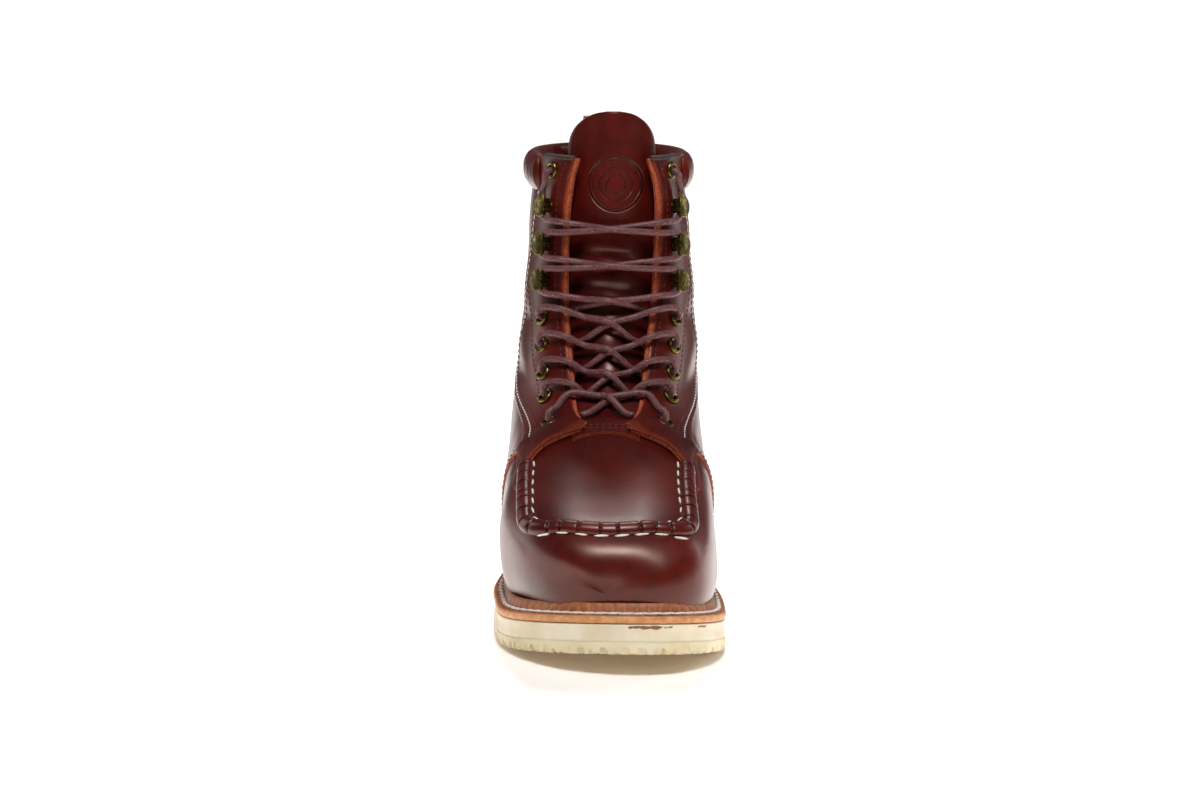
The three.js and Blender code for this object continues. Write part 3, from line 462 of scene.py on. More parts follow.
# Waxed thread: white for the welt and the toe seam, maroon for the rows that hardly show
white_thread, tree, shader = new_finish("waxed_white_thread")
where = add_node(tree, "ShaderNodeTexCoord").outputs["Object"]
strand = add_node(tree, "ShaderNodeTexNoise", Vector=where, Scale=1400.0, Detail=2.0)
tree.links.new(
    add_node(tree, "ShaderNodeValToRGB", Fac=strand.outputs["Fac"],
             stops=[(0.3, "#cfc5ba"), (0.6, "#f4efe8")]).outputs["Color"], shader.inputs["Base Color"]
)
shader.inputs["Roughness"].default_value = 0.55
maroon_thread, tree, shader = new_finish("waxed_maroon_thread")
where = add_node(tree, "ShaderNodeTexCoord").outputs["Object"]
strand = add_node(tree, "ShaderNodeTexNoise", Vector=where, Scale=1400.0, Detail=2.0)
tree.links.new(
    add_node(tree, "ShaderNodeValToRGB", Fac=strand.outputs["Fac"],
             stops=[(0.3, "#2a0c0d"), (0.6, "#57201d")]).outputs["Color"], shader.inputs["Base Color"]
)
shader.inputs["Roughness"].default_value = 0.45

# One tree sews every row: it steps along a line and lays a plump stitch at each step
sewing = bpy.data.node_groups.new("sewing", "GeometryNodeTree")
sewing.is_modifier = True
face = sewing.interface
face.new_socket(name="Line", in_out="INPUT", socket_type="NodeSocketGeometry")
for socket_name, value in [("Pitch", 0.003), ("Stitch length", 0.0024), ("Thread width", 0.0007),
                           ("Slant", 0.0), ("Unevenness", 0.12)]:
    face.new_socket(name=socket_name, in_out="INPUT", socket_type="NodeSocketFloat").default_value = value
face.new_socket(name="Seed", in_out="INPUT", socket_type="NodeSocketInt").default_value = 4
face.new_socket(name="Thread", in_out="INPUT", socket_type="NodeSocketMaterial")
face.new_socket(name="Stitches", in_out="OUTPUT", socket_type="NodeSocketGeometry")
given = add_node(sewing, "NodeGroupInput").outputs
outward = add_node(sewing, "GeometryNodeInputNamedAttribute", {"data_type": "FLOAT_VECTOR"}, Name="outward")
line = add_node(sewing, "GeometryNodeMeshToCurve", Mesh=given["Line"])
steps = add_node(sewing, "GeometryNodeResampleCurve", {"mode": "LENGTH"}, Curve=line.outputs[0],
                 Length=given["Pitch"])
tangent = add_node(sewing, "GeometryNodeInputTangent")
ball = add_node(sewing, "GeometryNodeMeshUVSphere", Segments=8, Rings=6, Radius=0.5)
sized = add_node(sewing, "ShaderNodeCombineXYZ", X=given["Stitch length"], Y=given["Thread width"],
                 Z=given["Thread width"])
shaped = add_node(sewing, "GeometryNodeTransform", Geometry=ball.outputs["Mesh"], Scale=sized.outputs[0])
plump = add_node(sewing, "GeometryNodeSetShadeSmooth", Geometry=shaped.outputs[0])
along = add_node(sewing, "FunctionNodeAlignEulerToVector", {"axis": "X"}, Vector=tangent.outputs[0])
raised = add_node(sewing, "FunctionNodeAlignEulerToVector", {"axis": "Z", "pivot_axis": "X"},
                  Rotation=along.outputs[0], Vector=outward.outputs[0])
wobble = add_node(sewing, "FunctionNodeRandomValue", {"data_type": "FLOAT"}, i2=-0.1, i3=0.1,
                  Seed=given["Seed"])
swing = add_node(sewing, "ShaderNodeMath", {"operation": "ADD"}, i0=given["Slant"], i1=wobble.outputs[1])
turned = add_node(sewing, "ShaderNodeCombineXYZ", Z=swing.outputs[0])
leaning = add_node(sewing, "FunctionNodeRotateEuler", {"rotation_type": "EULER", "space": "LOCAL"},
                   Rotation=raised.outputs[0], Rotate_By=turned.outputs[0])
least = add_node(sewing, "ShaderNodeMath", {"operation": "SUBTRACT"}, i0=1.0, i1=given["Unevenness"])
growth = add_node(sewing, "FunctionNodeRandomValue", {"data_type": "FLOAT"}, i2=least.outputs[0], i3=1.0,
                  Seed=given["Seed"])
laid = add_node(sewing, "GeometryNodeInstanceOnPoints", Points=steps.outputs[0], Instance=plump.outputs[0],
                Rotation=leaning.outputs[0], Scale=growth.outputs[1])
real = add_node(sewing, "GeometryNodeRealizeInstances", Geometry=laid.outputs[0])
threaded = add_node(sewing, "GeometryNodeSetMaterial", Geometry=real.outputs[0], Material=given["Thread"])
add_node(sewing, "NodeGroupOutput", Stitches=threaded.outputs[0])


def sew(name, points, normals, thread, pitch, length, width, slant=0.0, closed=False, seed=4, uneven=0.12):
    """A row of stitches along a line that lies on the leather, as one plain mesh."""
    points = np.asarray(points, float)
    edges = [(at, at + 1) for at in range(len(points) - 1)]
    if closed:
        edges.append((len(points) - 1, 0))
    mesh = bpy.data.meshes.new(name + "_line")
    mesh.from_pydata((points * 0.001).tolist(), edges, [])
    outward_of = mesh.attributes.new("outward", "FLOAT_VECTOR", "POINT")
    outward_of.data.foreach_set("vector", np.asarray(normals, np.float32).ravel())
    piece = bpy.data.objects.new(name + "_line", mesh)
    bpy.context.scene.collection.objects.link(piece)
    modifier = piece.modifiers.new("sewing", "NODES")
    modifier.node_group = sewing
    wanted = {"Pitch": pitch * 0.001, "Stitch length": length * 0.001, "Thread width": width * 0.001,
              "Slant": slant, "Unevenness": uneven, "Seed": seed, "Thread": thread}
    for item in sewing.interface.items_tree:
        if item.in_out == "INPUT" and item.name in wanted:
            modifier[item.identifier] = wanted[item.name]
    made = bpy.data.meshes.new_from_object(piece.evaluated_get(bpy.context.evaluated_depsgraph_get()))
    made.name = name
    bpy.data.objects.remove(piece)
    row = bpy.data.objects.new(name, made)
    bpy.context.scene.collection.objects.link(row)
    return row


def join(name, pieces):
    """Several plain meshes as one piece."""
    whole = bmesh.new()
    finishes = []
    for piece in pieces:
        for material in piece.data.materials:
            if material not in finishes:
                finishes.append(material)
        first = len(whole.faces)
        whole.from_mesh(piece.data)
        whole.faces.ensure_lookup_table()
        for new_face in whole.faces[first:]:
            new_face.material_index = finishes.index(piece.data.materials[new_face.material_index])
    mesh = bpy.data.meshes.new(name)
    whole.to_mesh(mesh)
    whole.free()
    for material in finishes:
        mesh.materials.append(material)
    for piece in pieces:
        bpy.data.objects.remove(piece)
    joined = bpy.data.objects.new(name, mesh)
    bpy.context.scene.collection.objects.link(joined)
    return joined


# The lockstitch is two plies that cross at every hole, so two slanted rows weave into one braid
up_normals = np.tile([0.0, 0.0, 1.0], (edge_count, 1))
weave = []
for shift, slant, lift, grow in [(0.0, 0.36, 4.9, 1.0), (0.5, -0.36, 5.0, 0.97), (0.25, 0.08, 4.7, 0.8)]:
    ring = inset_edge(3.6 + (0.35 if slant > 0.2 else -0.3 if slant < 0 else 0))
    ring = np.roll(ring, round(shift * edge_count / awl_count), axis=0)
    line_points = np.column_stack([ring, midsole_top(ring[:, 1]) + lift])
    pitch = stitch_pitch / 2 if grow < 0.9 else stitch_pitch
    weave.append(sew("braid", line_points, up_normals, white_thread, pitch, 5.6 * grow, 1.25,
                     slant=slant, closed=True, seed=7, uneven=0.08))
lockstitch = join("welt_lockstitch", weave)
dress(lockstitch, "welt_leather")


# The insole is a leather board that fills the lasted upper's floor, on the wedge.
# Its top is worn smooth by the last and stays a dull tan.
insole_leather, tree, shader = new_finish("insole_board_leather")
where = add_node(tree, "ShaderNodeTexCoord").outputs["Object"]
cloud = add_node(tree, "ShaderNodeTexNoise", Vector=where, Scale=70.0, Detail=5.0)
tree.links.new(
    add_node(tree, "ShaderNodeValToRGB", Fac=cloud.outputs["Fac"],
             stops=[(0.3, "#7d5a3c"), (0.7, "#a5805c")]).outputs["Color"], shader.inputs["Base Color"]
)
shader.inputs["Roughness"].default_value = 0.75
rings = []
for inset, height in [(11.0, 0.4), (10.2, 1.0), (10.0, 3.0), (10.4, 4.1), (11.6, 4.3), (16, 4.3)]:
    ring = inset_edge(inset)
    rings.append(np.column_stack([ring, midsole_top(ring[:, 1]) + height]))
points = np.concatenate(rings)
faces = ring_faces(len(rings), edge_count, lids=True)
insole = new_piece("insole_board", points, faces, [insole_leather])
dress(insole, "lining_leather", "insole")


# The upper is lasted leather over one form: every panel, seam and cord lies on it at its own height.
# The form is a row of sections from the toe, over the instep and up the shaft to the collar.
throat_height = 97
collar_height = 226
throat_row = 8
roll_start_row = 19
collar_row = 22
facing_rear = 0.683
# front along, up, back along, rise, half, level, crown, base, front middle, back middle
SECTIONS = [
    (0.0190, 0.392, 0.0190, 0.068, 0.000, 0.60, 2.3, 2.1, 0.000, 0.000),
    (0.0215, 0.464, 0.0215, 0.016, 0.106, 0.60, 2.4, 2.0, 0.000, 0.012),
    (0.0300, 0.536, 0.0300, -0.029, 0.190, 0.64, 2.6, 2.1, 0.010, 0.036),
    (0.0490, 0.606, 0.0490, -0.047, 0.272, 0.60, 2.8, 2.3, 0.012, 0.056),
    (0.0945, 0.683, 0.0945, -0.045, 0.366, 0.57, 3.0, 2.5, 0.014, 0.062),
    (0.160, 0.753, 0.160, -0.042, 0.430, 0.56, 3.0, 2.8, 0.004, 0.050),
    (0.250, 0.845, 0.250, -0.042, 0.470, 0.53, 2.9, 3.4, -0.006, 0.028),
    (0.333, 0.938, 0.340, -0.042, 0.472, 0.51, 2.75, 3.8, -0.006, 0.012),
    (0.380, 1.004, 0.407, -0.042, 0.470, 0.495, 2.65, 4.0, -0.006, 0.000),
    (0.427, 1.054, 0.487, -0.042, 0.462, 0.475, 2.5, 3.5, -0.005, -0.008),
    (0.473, 1.132, 0.573, -0.042, 0.449, 0.46, 2.4, 3.2, -0.005, -0.026),
    (0.507, 1.217, 0.667, -0.042, 0.438, 0.46, 2.35, 3.0, -0.006, -0.040),
    (0.533, 1.318, 0.767, -0.042, 0.430, 0.48, 2.35, 3.1, -0.006, -0.060),
    (0.552, 1.411, 0.873, -0.036, 0.422, 0.51, 2.4, 2.9, -0.004, -0.064),
    (0.562, 1.519, 0.960, 0.013, 0.412, 0.52, 2.45, 2.5, -0.001, -0.060),
    (0.567, 1.612, 0.990, 0.158, 0.402, 0.52, 2.45, 2.2, 0.001, -0.054),
    (0.571, 1.698, 0.978, 0.345, 0.391, 0.52, 2.4, 2.1, 0.004, -0.044),
    (0.573, 1.767, 0.965, 0.553, 0.376, 0.52, 2.35, 2.1, 0.007, -0.050),
    (0.574, 1.822, 0.963, 0.771, 0.358, 0.51, 2.3, 2.1, 0.010, -0.054),
    (0.575, 1.860, 0.965, 0.9065, 0.345, 0.50, 2.3, 2.1, 0.012, -0.056),
    (0.576, 1.907, 0.967, 0.9377, 0.347, 0.50, 2.3, 2.1, 0.012, -0.056),
    (0.577, 1.953, 0.969, 0.9688, 0.349, 0.50, 2.3, 2.1, 0.012, -0.056),
    (0.577, 2.000, 0.970, 1.0000, 0.349, 0.50, 2.3, 2.1, 0.012, -0.056),
    (0.578, 2.093, 0.972, 1.0620, 0.351, 0.50, 2.3, 2.1, 0.012, -0.056),
    (0.579, 2.202, 0.973, 1.1350, 0.353, 0.50, 2.3, 2.1, 0.012, -0.056),
]


def up_at(up):
    up = np.asarray(up, float)
    above = throat_height + (up - 1) * (collar_height - throat_height)
    return np.where(up <= 1, up * throat_height, above)


heel_seat = midsole_top(place(sole_length))
section_rows = []
for number, (front_along, up, back_along, rise, half, level, crown, base, *middles) in enumerate(SECTIONS):
    front = (place(front_along * sole_length), up_at(up))
    back_y = place(back_along * sole_length)
    back = (back_y, midsole_top(back_y) + rise * (collar_height - heel_seat)) if number else front
    section_rows.append((number, *front, *back, half * ball_width, level, crown, base,
                         middles[0] * ball_width, middles[1] * ball_width))


def section_at(row):
    value = [read_table(section_rows, row, column) for column in range(1, 11)]
    front = np.stack([value[8], value[0], value[1]], -1)
    back = np.stack([value[9], value[2], value[3]], -1)
    return front, back, value[4], value[5], value[6], value[7]


swung_share = 0.75


def section_point(front, back, across, share):
    point = back + (front - back) * share[..., None]
    point[..., 0] += across
    point[..., 1] -= swing_at(point[..., 0], point[..., 1]) * (1 - smooth(swung_share, 1, share))
    return point


def ring_point(row, turn):
    """A point round a section: turn 0 is its back, a quarter the big toe's side, a half its front."""
    row, turn = np.broadcast_arrays(np.asarray(row, float), np.asarray(turn, float))
    front, back, half, level, crown, base = section_at(row)
    angle = (turn - 0.25) * 2 * np.pi
    side, climb = np.cos(angle), np.sin(angle)
    power = np.where(climb > 0, crown, base)
    reach = (np.abs(side) ** power + np.abs(climb) ** power) ** (-1 / power)
    span = np.where(climb > 0, 1 - level, level)
    return section_point(front, back, half * side * reach, level + span * climb * reach)


def front_point(row, across):
    row, across = np.broadcast_arrays(np.asarray(row, float), np.asarray(across, float))
    front, back, half, level, crown, base = section_at(row)
    share = np.minimum(np.abs(across) / np.maximum(half, 1e-6), 1)
    return section_point(front, back, across, level + (1 - level) * (1 - share**crown) ** (1 / crown))


def unit(vectors):
    return vectors / np.maximum(np.linalg.norm(vectors, axis=-1, keepdims=True), 1e-12)


tiny = 0.01


def ring_normal(row, turn):
    at = np.maximum(row, 0.3)
    along = ring_point(at + tiny, turn) - ring_point(at - tiny, turn)
    over = ring_point(at, turn + tiny) - ring_point(at, turn - tiny)
    return unit(np.cross(along, over))


def front_normal(row, across):
    along = front_point(row + tiny, across) - front_point(row - tiny, across)
    over = front_point(row, across + tiny) - front_point(row, across - tiny)
    return unit(np.cross(over, along))


def bisect(low, high, measure, like):
    """The row at which a rising measure crosses nothing, one for each entry of like."""
    low, high = np.full(np.shape(like), float(low)), np.full(np.shape(like), float(high))
    for _ in range(34):
        middle = (low + high) / 2
        under = measure(middle) < 0
        low, high = np.where(under, middle, low), np.where(under, high, middle)
    return (low + high) / 2


def row_at_height(height, across):
    return bisect(throat_row - 1, len(SECTIONS) - 2,
                  lambda row: front_point(row, across)[..., 2] - height, height)


def row_at_along(y):
    return bisect(1, throat_row + 2, lambda row: section_at(row)[0][..., 1] - y, y)


# The throat is open from the tongue's base to the collar: up, then half the gap
THROAT = [
    (1.003, 0.090), (1.020, 0.128), (1.060, 0.149), (1.155, 0.165), (1.256, 0.178), (1.364, 0.196),
    (1.504, 0.205), (1.800, 0.207), (1.920, 0.190), (2.000, 0.165), (2.200, 0.160),
]


def throat_half(z):
    up = np.where(z <= throat_height, 1, 1 + (z - throat_height) / (collar_height - throat_height))
    return ball_width * read_table(THROAT, up, 1)


# Worn-in softness, the same for every layer at one place: troughs and swells, listed one by one.
# Each is x side (0 for both), y, z, then its half widths along and up, its tilt, and its depth.
FOLDS = [
    (-1, 20, 112, 26, 5, 0.25, -1.2), (-1, 34, 128, 30, 7, 0.2, 0.9), (-1, 48, 142, 34, 6, 0.1, -1.0),
    (1, 18, 110, 26, 5, 0.28, -1.1), (1, 36, 126, 30, 7, 0.2, 0.9), (1, 50, 144, 34, 6, 0.12, -0.9),
    (-1, 60, 176, 26, 10, -0.3, -0.8), (1, 64, 172, 26, 10, -0.25, -0.9), (-1, 20, 190, 14, 22, 0, 0.7),
    (1, 16, 188, 14, 22, 0, 0.6), (-1, -60, 62, 30, 8, 0.1, -0.5), (1, -58, 58, 30, 8, 0.1, -0.6),
    (-1, -2, 84, 12, 16, -0.4, -0.7), (1, -2, 86, 12, 16, -0.4, -0.7), (1, -96, 40, 22, 9, 0.2, -0.5),
    (0, 132, 120, 18, 6, 0, -0.8), (0, 128, 140, 18, 7, 0, 0.7), (0, 124, 160, 18, 6, 0, -0.6),
]


def fold_at(points):
    x, y, z = points[..., 0], points[..., 1], points[..., 2]
    total = np.zeros(x.shape)
    for side, at_y, at_z, wide, tall, tilt, depth in FOLDS:
        run, climb = y - at_y, z - at_z
        u = (run * math.cos(tilt) + climb * math.sin(tilt)) / wide
        v = (-run * math.sin(tilt) + climb * math.cos(tilt)) / tall
        here = np.exp(-(u**2) - v**2)
        total += depth * here * (1 if side == 0 else smooth(8, 26, x * side))
    slow = np.sin(y * 0.071 + z * 0.043 + 1.1) * np.sin(z * 0.083 - y * 0.031 + x * 0.02)
    return total + 0.28 * slow


def signed_distance(line, y, z):
    """Distance in the side view to a closed outline, above 0 inside it."""
    line = np.asarray(line, float)
    ends = np.roll(line, -1, axis=0)
    shape = y.shape
    y, z = y.ravel(), z.ravel()
    near = np.full(y.size, 1e9)
    inside = np.zeros(y.size, bool)
    for (ay, az), (by, bz) in zip(line, ends):
        dy, dz = by - ay, bz - az
        share = np.clip(((y - ay) * dy + (z - az) * dz) / max(dy * dy + dz * dz, 1e-9), 0, 1)
        near = np.minimum(near, (y - ay - share * dy) ** 2 + (z - az - share * dz) ** 2)
        crosses = (az > z) != (bz > z)
        with np.errstate(divide="ignore", invalid="ignore"):
            inside ^= crosses & (y < ay + (z - az) * dy / (dz if abs(dz) > 1e-12 else 1e-12))
    return np.where(inside, np.sqrt(near), -np.sqrt(near)).reshape(shape)


def soft_line(points, each=10):
    """A smooth open line through given points."""
    points = np.asarray(points, float)
    key = np.arange(len(points), dtype=float)
    want = np.linspace(0, len(points) - 1, (len(points) - 1) * each + 1)
    table = np.column_stack([key, points])
    return np.stack([read_table(table, want, 1 + axis) for axis in range(points.shape[1])], 1)


def cut_sheet(points, normals, keep):
    """The part of a grid where keep is above 0, cut exactly along its zero line."""
    rows, columns = keep.shape
    inside = keep > 0
    flat_points, flat_normals, flat_keep = points.reshape(-1, 3), normals.reshape(-1, 3), keep.ravel()
    extra_from, extra_to, extra_share, crossing = [], [], [], {}

    def crossing_of(a, b):
        pair = (a, b) if a < b else (b, a)
        if pair not in crossing:
            start, end = flat_keep[pair[0]], flat_keep[pair[1]]
            crossing[pair] = rows * columns + len(extra_share)
            extra_from.append(pair[0])
            extra_to.append(pair[1])
            extra_share.append(start / (start - end))
        return crossing[pair]

    corner_count = (inside[:-1, :-1].astype(int) + inside[:-1, 1:] + inside[1:, 1:] + inside[1:, :-1])
    whole_i, whole_j = np.nonzero(corner_count == 4)
    here = whole_i * columns + whole_j
    faces = np.stack([here, here + columns, here + columns + 1, here + 1], 1).tolist()
    flags = inside.ravel()
    for i, j in zip(*np.nonzero((corner_count > 0) & (corner_count < 4))):
        at = int(i * columns + j)
        loop = [at, at + columns, at + columns + 1, at + 1]
        polygon = []
        for a, b in zip(loop, loop[1:] + loop[:1]):
            if flags[a]:
                polygon.append(a)
            if flags[a] != flags[b]:
                polygon.append(crossing_of(a, b))
        if len(polygon) >= 3:
            faces.append(polygon)
    share = np.array(extra_share)[:, None]
    all_points = np.concatenate([flat_points, mix(flat_points[extra_from], flat_points[extra_to], share)])
    all_normals = np.concatenate(
        [flat_normals, unit(mix(flat_normals[extra_from], flat_normals[extra_to], share))]
    )
    all_keep = np.concatenate([np.maximum(flat_keep, 0), np.zeros(len(extra_share))])
    used = np.unique(np.concatenate([np.array(face) for face in faces]))
    renumber = np.full(len(all_points), -1)
    renumber[used] = np.arange(len(used))
    faces = [renumber[face].tolist() for face in faces]
    return all_points[used], all_normals[used], all_keep[used], faces


def leather_panel(name, points, normals, keep, outer, inner, finishes,
                  edge_round=0.35, edge_width=1.1, flags=None):
    """A closed piece of leather over the form. Its cut edge has the second finish."""
    at, out, room, faces = cut_sheet(points, normals, keep)
    rim = edge_round * (1 - smooth(0, edge_width, room))
    high = outer(at) if callable(outer) else outer
    low = inner(at) if callable(inner) else inner
    face_points = at + out * (high - rim)[..., None] if np.ndim(high) else at + out * (high - rim)[:, None]
    back_points = at + out * (np.ones(len(at)) * low)[:, None]
    count = len(at)
    seen = {}
    for face in faces:
        for a, b in zip(face, face[1:] + face[:1]):
            seen[(a, b)] = True
    border = [(a, b) for a, b in seen if (b, a) not in seen]
    whole = faces + [[count + v for v in reversed(face)] for face in faces]
    walls = [[b, a, count + a, count + b] for a, b in border]
    index = [0] * len(whole) + [1] * len(walls)
    attributes = {"edge_room": np.concatenate([room, np.zeros(count)])}
    for key, maker in (flags or {}).items():
        values = maker(at)
        attributes[key] = np.concatenate([values, values])
    piece = new_piece(name, np.concatenate([face_points, back_points]), whole + walls, finishes,
                      index, attributes)
    piece.data.set_sharp_from_angle(angle=math.radians(48))
    return piece


# The vamp is one piece of oiled pull-up leather, lasted round the toe and tucked under the welt.
# It runs back under the quarters, and its middle is the plug that the toe seam is drawn up around.
pull_up, tree, shader = new_finish("oxblood_pull_up_leather")
where = add_node(tree, "ShaderNodeTexCoord").outputs["Object"]
cloud = add_node(tree, "ShaderNodeTexNoise", Vector=where, Scale=16.0, Detail=4.0, Roughness=0.55)
mottle = add_node(tree, "ShaderNodeTexNoise", Vector=where, Scale=150.0, Detail=6.0, Roughness=0.7)
blend = add_node(tree, "ShaderNodeMix", {"data_type": "FLOAT"}, i0=0.35, i2=cloud.outputs["Fac"],
                 i3=mottle.outputs["Fac"])
body = add_node(tree, "ShaderNodeValToRGB", Fac=blend.outputs[0],
                stops=[(0.3, "#2d0604"), (0.47, "#470c08"), (0.6, "#5c130b"),
                       (0.78, "#702013")]).outputs["Color"]
room = add_node(tree, "ShaderNodeAttribute", {"attribute_name": "edge_room"}).outputs["Fac"]
worn = add_node(tree, "ShaderNodeMapRange", Value=room, From_Min=1.1, From_Max=0.0, To_Min=0.0, To_Max=0.5)
body = add_node(tree, "ShaderNodeMix", {"data_type": "RGBA"}, i0=worn.outputs[0], i6=body,
                i7=hex_colour("#8c3a22"))
tree.links.new(body.outputs[2], shader.inputs["Base Color"])
gloss = add_node(tree, "ShaderNodeMapRange", Value=cloud.outputs["Fac"], From_Min=0.3, From_Max=0.7,
                 To_Min=0.3, To_Max=0.38)
tree.links.new(gloss.outputs[0], shader.inputs["Roughness"])
# Hair-cell grain of about 0.5 mm, and finer pores over it
grain = add_node(tree, "ShaderNodeTexVoronoi", {"feature": "DISTANCE_TO_EDGE"}, Vector=where, Scale=1500.0)
pore = add_node(tree, "ShaderNodeTexNoise", Vector=where, Scale=1500.0, Detail=2.0, Roughness=0.5)
rough_sum = add_node(tree, "ShaderNodeMath", {"operation": "MULTIPLY_ADD"},
                     i0=grain.outputs["Distance"], i1=0.5, i2=pore.outputs["Fac"])
bump = add_node(tree, "ShaderNodeBump", Strength=0.08, Distance=0.0002, Height=rough_sum.outputs[0])
slow_wave = add_node(tree, "ShaderNodeTexNoise", Vector=where, Scale=70.0, Detail=3.0)
bump = add_node(tree, "ShaderNodeBump", Strength=0.3, Distance=0.0006, Height=slow_wave.outputs["Fac"],
                Normal=bump.outputs["Normal"])
tree.links.new(bump.outputs["Normal"], shader.inputs["Normal"])
shader.inputs["IOR"].default_value = 1.5
shader.inputs["Specular Tint"].default_value = (1.0, 0.72, 0.62, 1.0)
shader.inputs["Coat Weight"].default_value = 0.1
shader.inputs["Coat Roughness"].default_value = 0.22
shader.inputs["Coat IOR"].default_value = 1.48

# Where a panel is cut its undyed fibre shows, orange-brown and quite dull
raw_edge, tree, shader = new_finish("raw_cut_leather_edge")
where = add_node(tree, "ShaderNodeTexCoord").outputs["Object"]
fibre = add_node(tree, "ShaderNodeTexNoise", Vector=where, Scale=900.0, Detail=5.0, Roughness=0.7)
tree.links.new(
    add_node(tree, "ShaderNodeValToRGB", Fac=fibre.outputs["Fac"],
             stops=[(0.3, "#6a2716"), (0.5, "#a3482a"), (0.7, "#c4683c")]).outputs["Color"],
    shader.inputs["Base Color"],
)
bump = add_node(tree, "ShaderNodeBump", Strength=0.7, Distance=0.0005, Height=fibre.outputs["Fac"])
tree.links.new(bump.outputs["Normal"], shader.inputs["Normal"])
shader.inputs["Roughness"].default_value = 0.8
shader.inputs["IOR"].default_value = 1.45

quarter_out = 1.45
facing_out = 2.5

foot_rows = np.concatenate([np.linspace(0.02, 3, 44), np.linspace(3, 8, 110)[1:], np.linspace(8, 13, 36)[1:]])
foot_turns = np.linspace(0, 1, 301)
foot_grid = ring_point(foot_rows[:, None], foot_turns[None, :])
foot_normals = ring_normal(foot_rows[:, None], foot_turns[None, :])
foot_grid = foot_grid + foot_normals * fold_at(foot_grid)[..., None]
# The lasted toe is one round bulge, so the grid is relaxed there and drawn in over the welt's rim
toe_share = (1 - smooth(2.6, 4.4, foot_rows))[:, None, None]
foot_grid[..., 1] += 3.4 * (1 - smooth(0.6, 3.4, foot_rows))[:, None]
for _ in range(260):
    around = np.roll(foot_grid[:, :-1], 1, axis=1) + np.roll(foot_grid[:, :-1], -1, axis=1)
    around = np.concatenate([around, around[:, :1]], axis=1)
    level = np.concatenate([2 * foot_grid[:1], foot_grid[:-2] + foot_grid[2:], 2 * foot_grid[-1:]])
    foot_grid = mix(foot_grid, (around + level) / 4, 0.8 * toe_share)
    foot_grid[0] = foot_grid[1].mean(axis=0)
by_row, by_turn = np.gradient(foot_grid, axis=0), np.gradient(foot_grid, axis=1)
relaxed = unit(np.cross(by_row, by_turn))
relaxed[:, 0] = relaxed[:, -1] = relaxed[:, 1]
relaxed[0] = unit(relaxed[1].mean(axis=0))
foot_normals = unit(mix(foot_normals, relaxed, toe_share))
foot_y, foot_z = foot_grid[..., 1], foot_grid[..., 2]
front_middle = section_at(foot_rows)[0][:, 0][:, None]
across = foot_grid[..., 0] - front_middle
throat_room = np.where(foot_z > 90, np.abs(across) - throat_half(foot_z) - 1, 50)
base_room = 110 - foot_z + np.where(np.abs(across) > 30, 60, 0)
keep = np.minimum.reduce([place(0.56 * sole_length) - foot_y, foot_z - midsole_top(foot_y) - 1.0,
                          np.maximum(throat_room, base_room), 122 - foot_z])
vamp = leather_panel("vamp", foot_grid, foot_normals, keep, 0.0, -1.9, [pull_up, raw_edge])
dress(vamp, "oxblood_leather", "upper")


# The toe seam is drawn up by hand: the wall's edge is puckered over the plug and pulled tight.
# Each stitch pulls a crease across the roll, closer together round the two corners.
seam_half = 39.5
seam_front = 29.0
seam_end = 0.352 * sole_length
corner = 17.0


def seam_line(outwards):
    """The seam on the form, moved outwards from the plug's middle, with its normals."""
    straight = [(seam_half, along) for along in np.linspace(seam_end, seam_front + corner, 40)]
    bend = [(seam_half - corner * (1 - math.cos(a)), seam_front + corner - corner * math.sin(a))
            for a in np.linspace(0, math.pi / 2, 24)[1:]]
    middle = [(reach, seam_front - 4.2 * (1 - (reach / (seam_half - corner)) ** 2)) for reach in
              np.linspace(seam_half - corner, 0, 24)[1:]]
    half = np.array(straight + bend + middle)
    line = np.concatenate([half, (half * [-1, 1])[::-1][1:]])
    run = np.gradient(line, axis=0)
    run /= np.linalg.norm(run, axis=1)[:, None]
    line = line + np.stack([-run[:, 1], run[:, 0]], 1) * -outwards
    rows = row_at_along(place(line[:, 1]))
    points = front_point(rows, line[:, 0])
    normals = front_normal(rows, line[:, 0])
    points = points + normals * fold_at(points)[:, None]
    joined_up = even_steps(np.column_stack([points, normals]), 900)
    return joined_up[:, :3], unit(joined_up[:, 3:])


seam_points, seam_normals = seam_line(0)
seam_run = np.concatenate([[0], np.cumsum(np.linalg.norm(np.diff(seam_points, axis=0), axis=1))])
pucker_pitch = 8.6
pucker_count = round(seam_run[-1] / pucker_pitch)
phase = seam_run / seam_run[-1] * pucker_count
jitter = 0.12 * np.sin(phase * 2.4) + 0.08 * np.sin(phase * 5.1)
crease = np.exp(-((np.abs(((phase + jitter) % 1) - 0.5) / 0.065) ** 2))
swell = np.sqrt(np.clip(1 - (2 * (((phase + jitter + 0.5) % 1) - 0.5)) ** 4, 0, 1))
roll_count = 28
roll_turn = np.linspace(0, 2 * np.pi, roll_count, endpoint=False)
tangent_of = unit(np.gradient(seam_points, axis=0))
side_of = unit(np.cross(tangent_of, seam_normals))
rise_of = np.cross(side_of, tangent_of)
upper_share = np.clip(np.sin(roll_turn), 0, 1)[None, :] ** 0.5
thick = (3.2 + 0.35 * swell[:, None]) * (1 - 0.32 * crease[:, None] * upper_share)
lean = np.cos(roll_turn)[None, :, None] * side_of[:, None, :] * 1.2
lift = np.sin(roll_turn)[None, :, None] * rise_of[:, None, :] * 0.92
seam_share = seam_run / seam_run[-1]
tucked = 1 - smooth(0, 0.06, np.minimum(seam_share, 1 - seam_share))
tube = seam_points[:, None, :] + (lean + lift) * thick[..., None]
tube = tube + seam_normals[:, None, :] * (0.1 - 2.6 * tucked)[:, None, None]
faces = ring_faces(900, roll_count, lids=True)
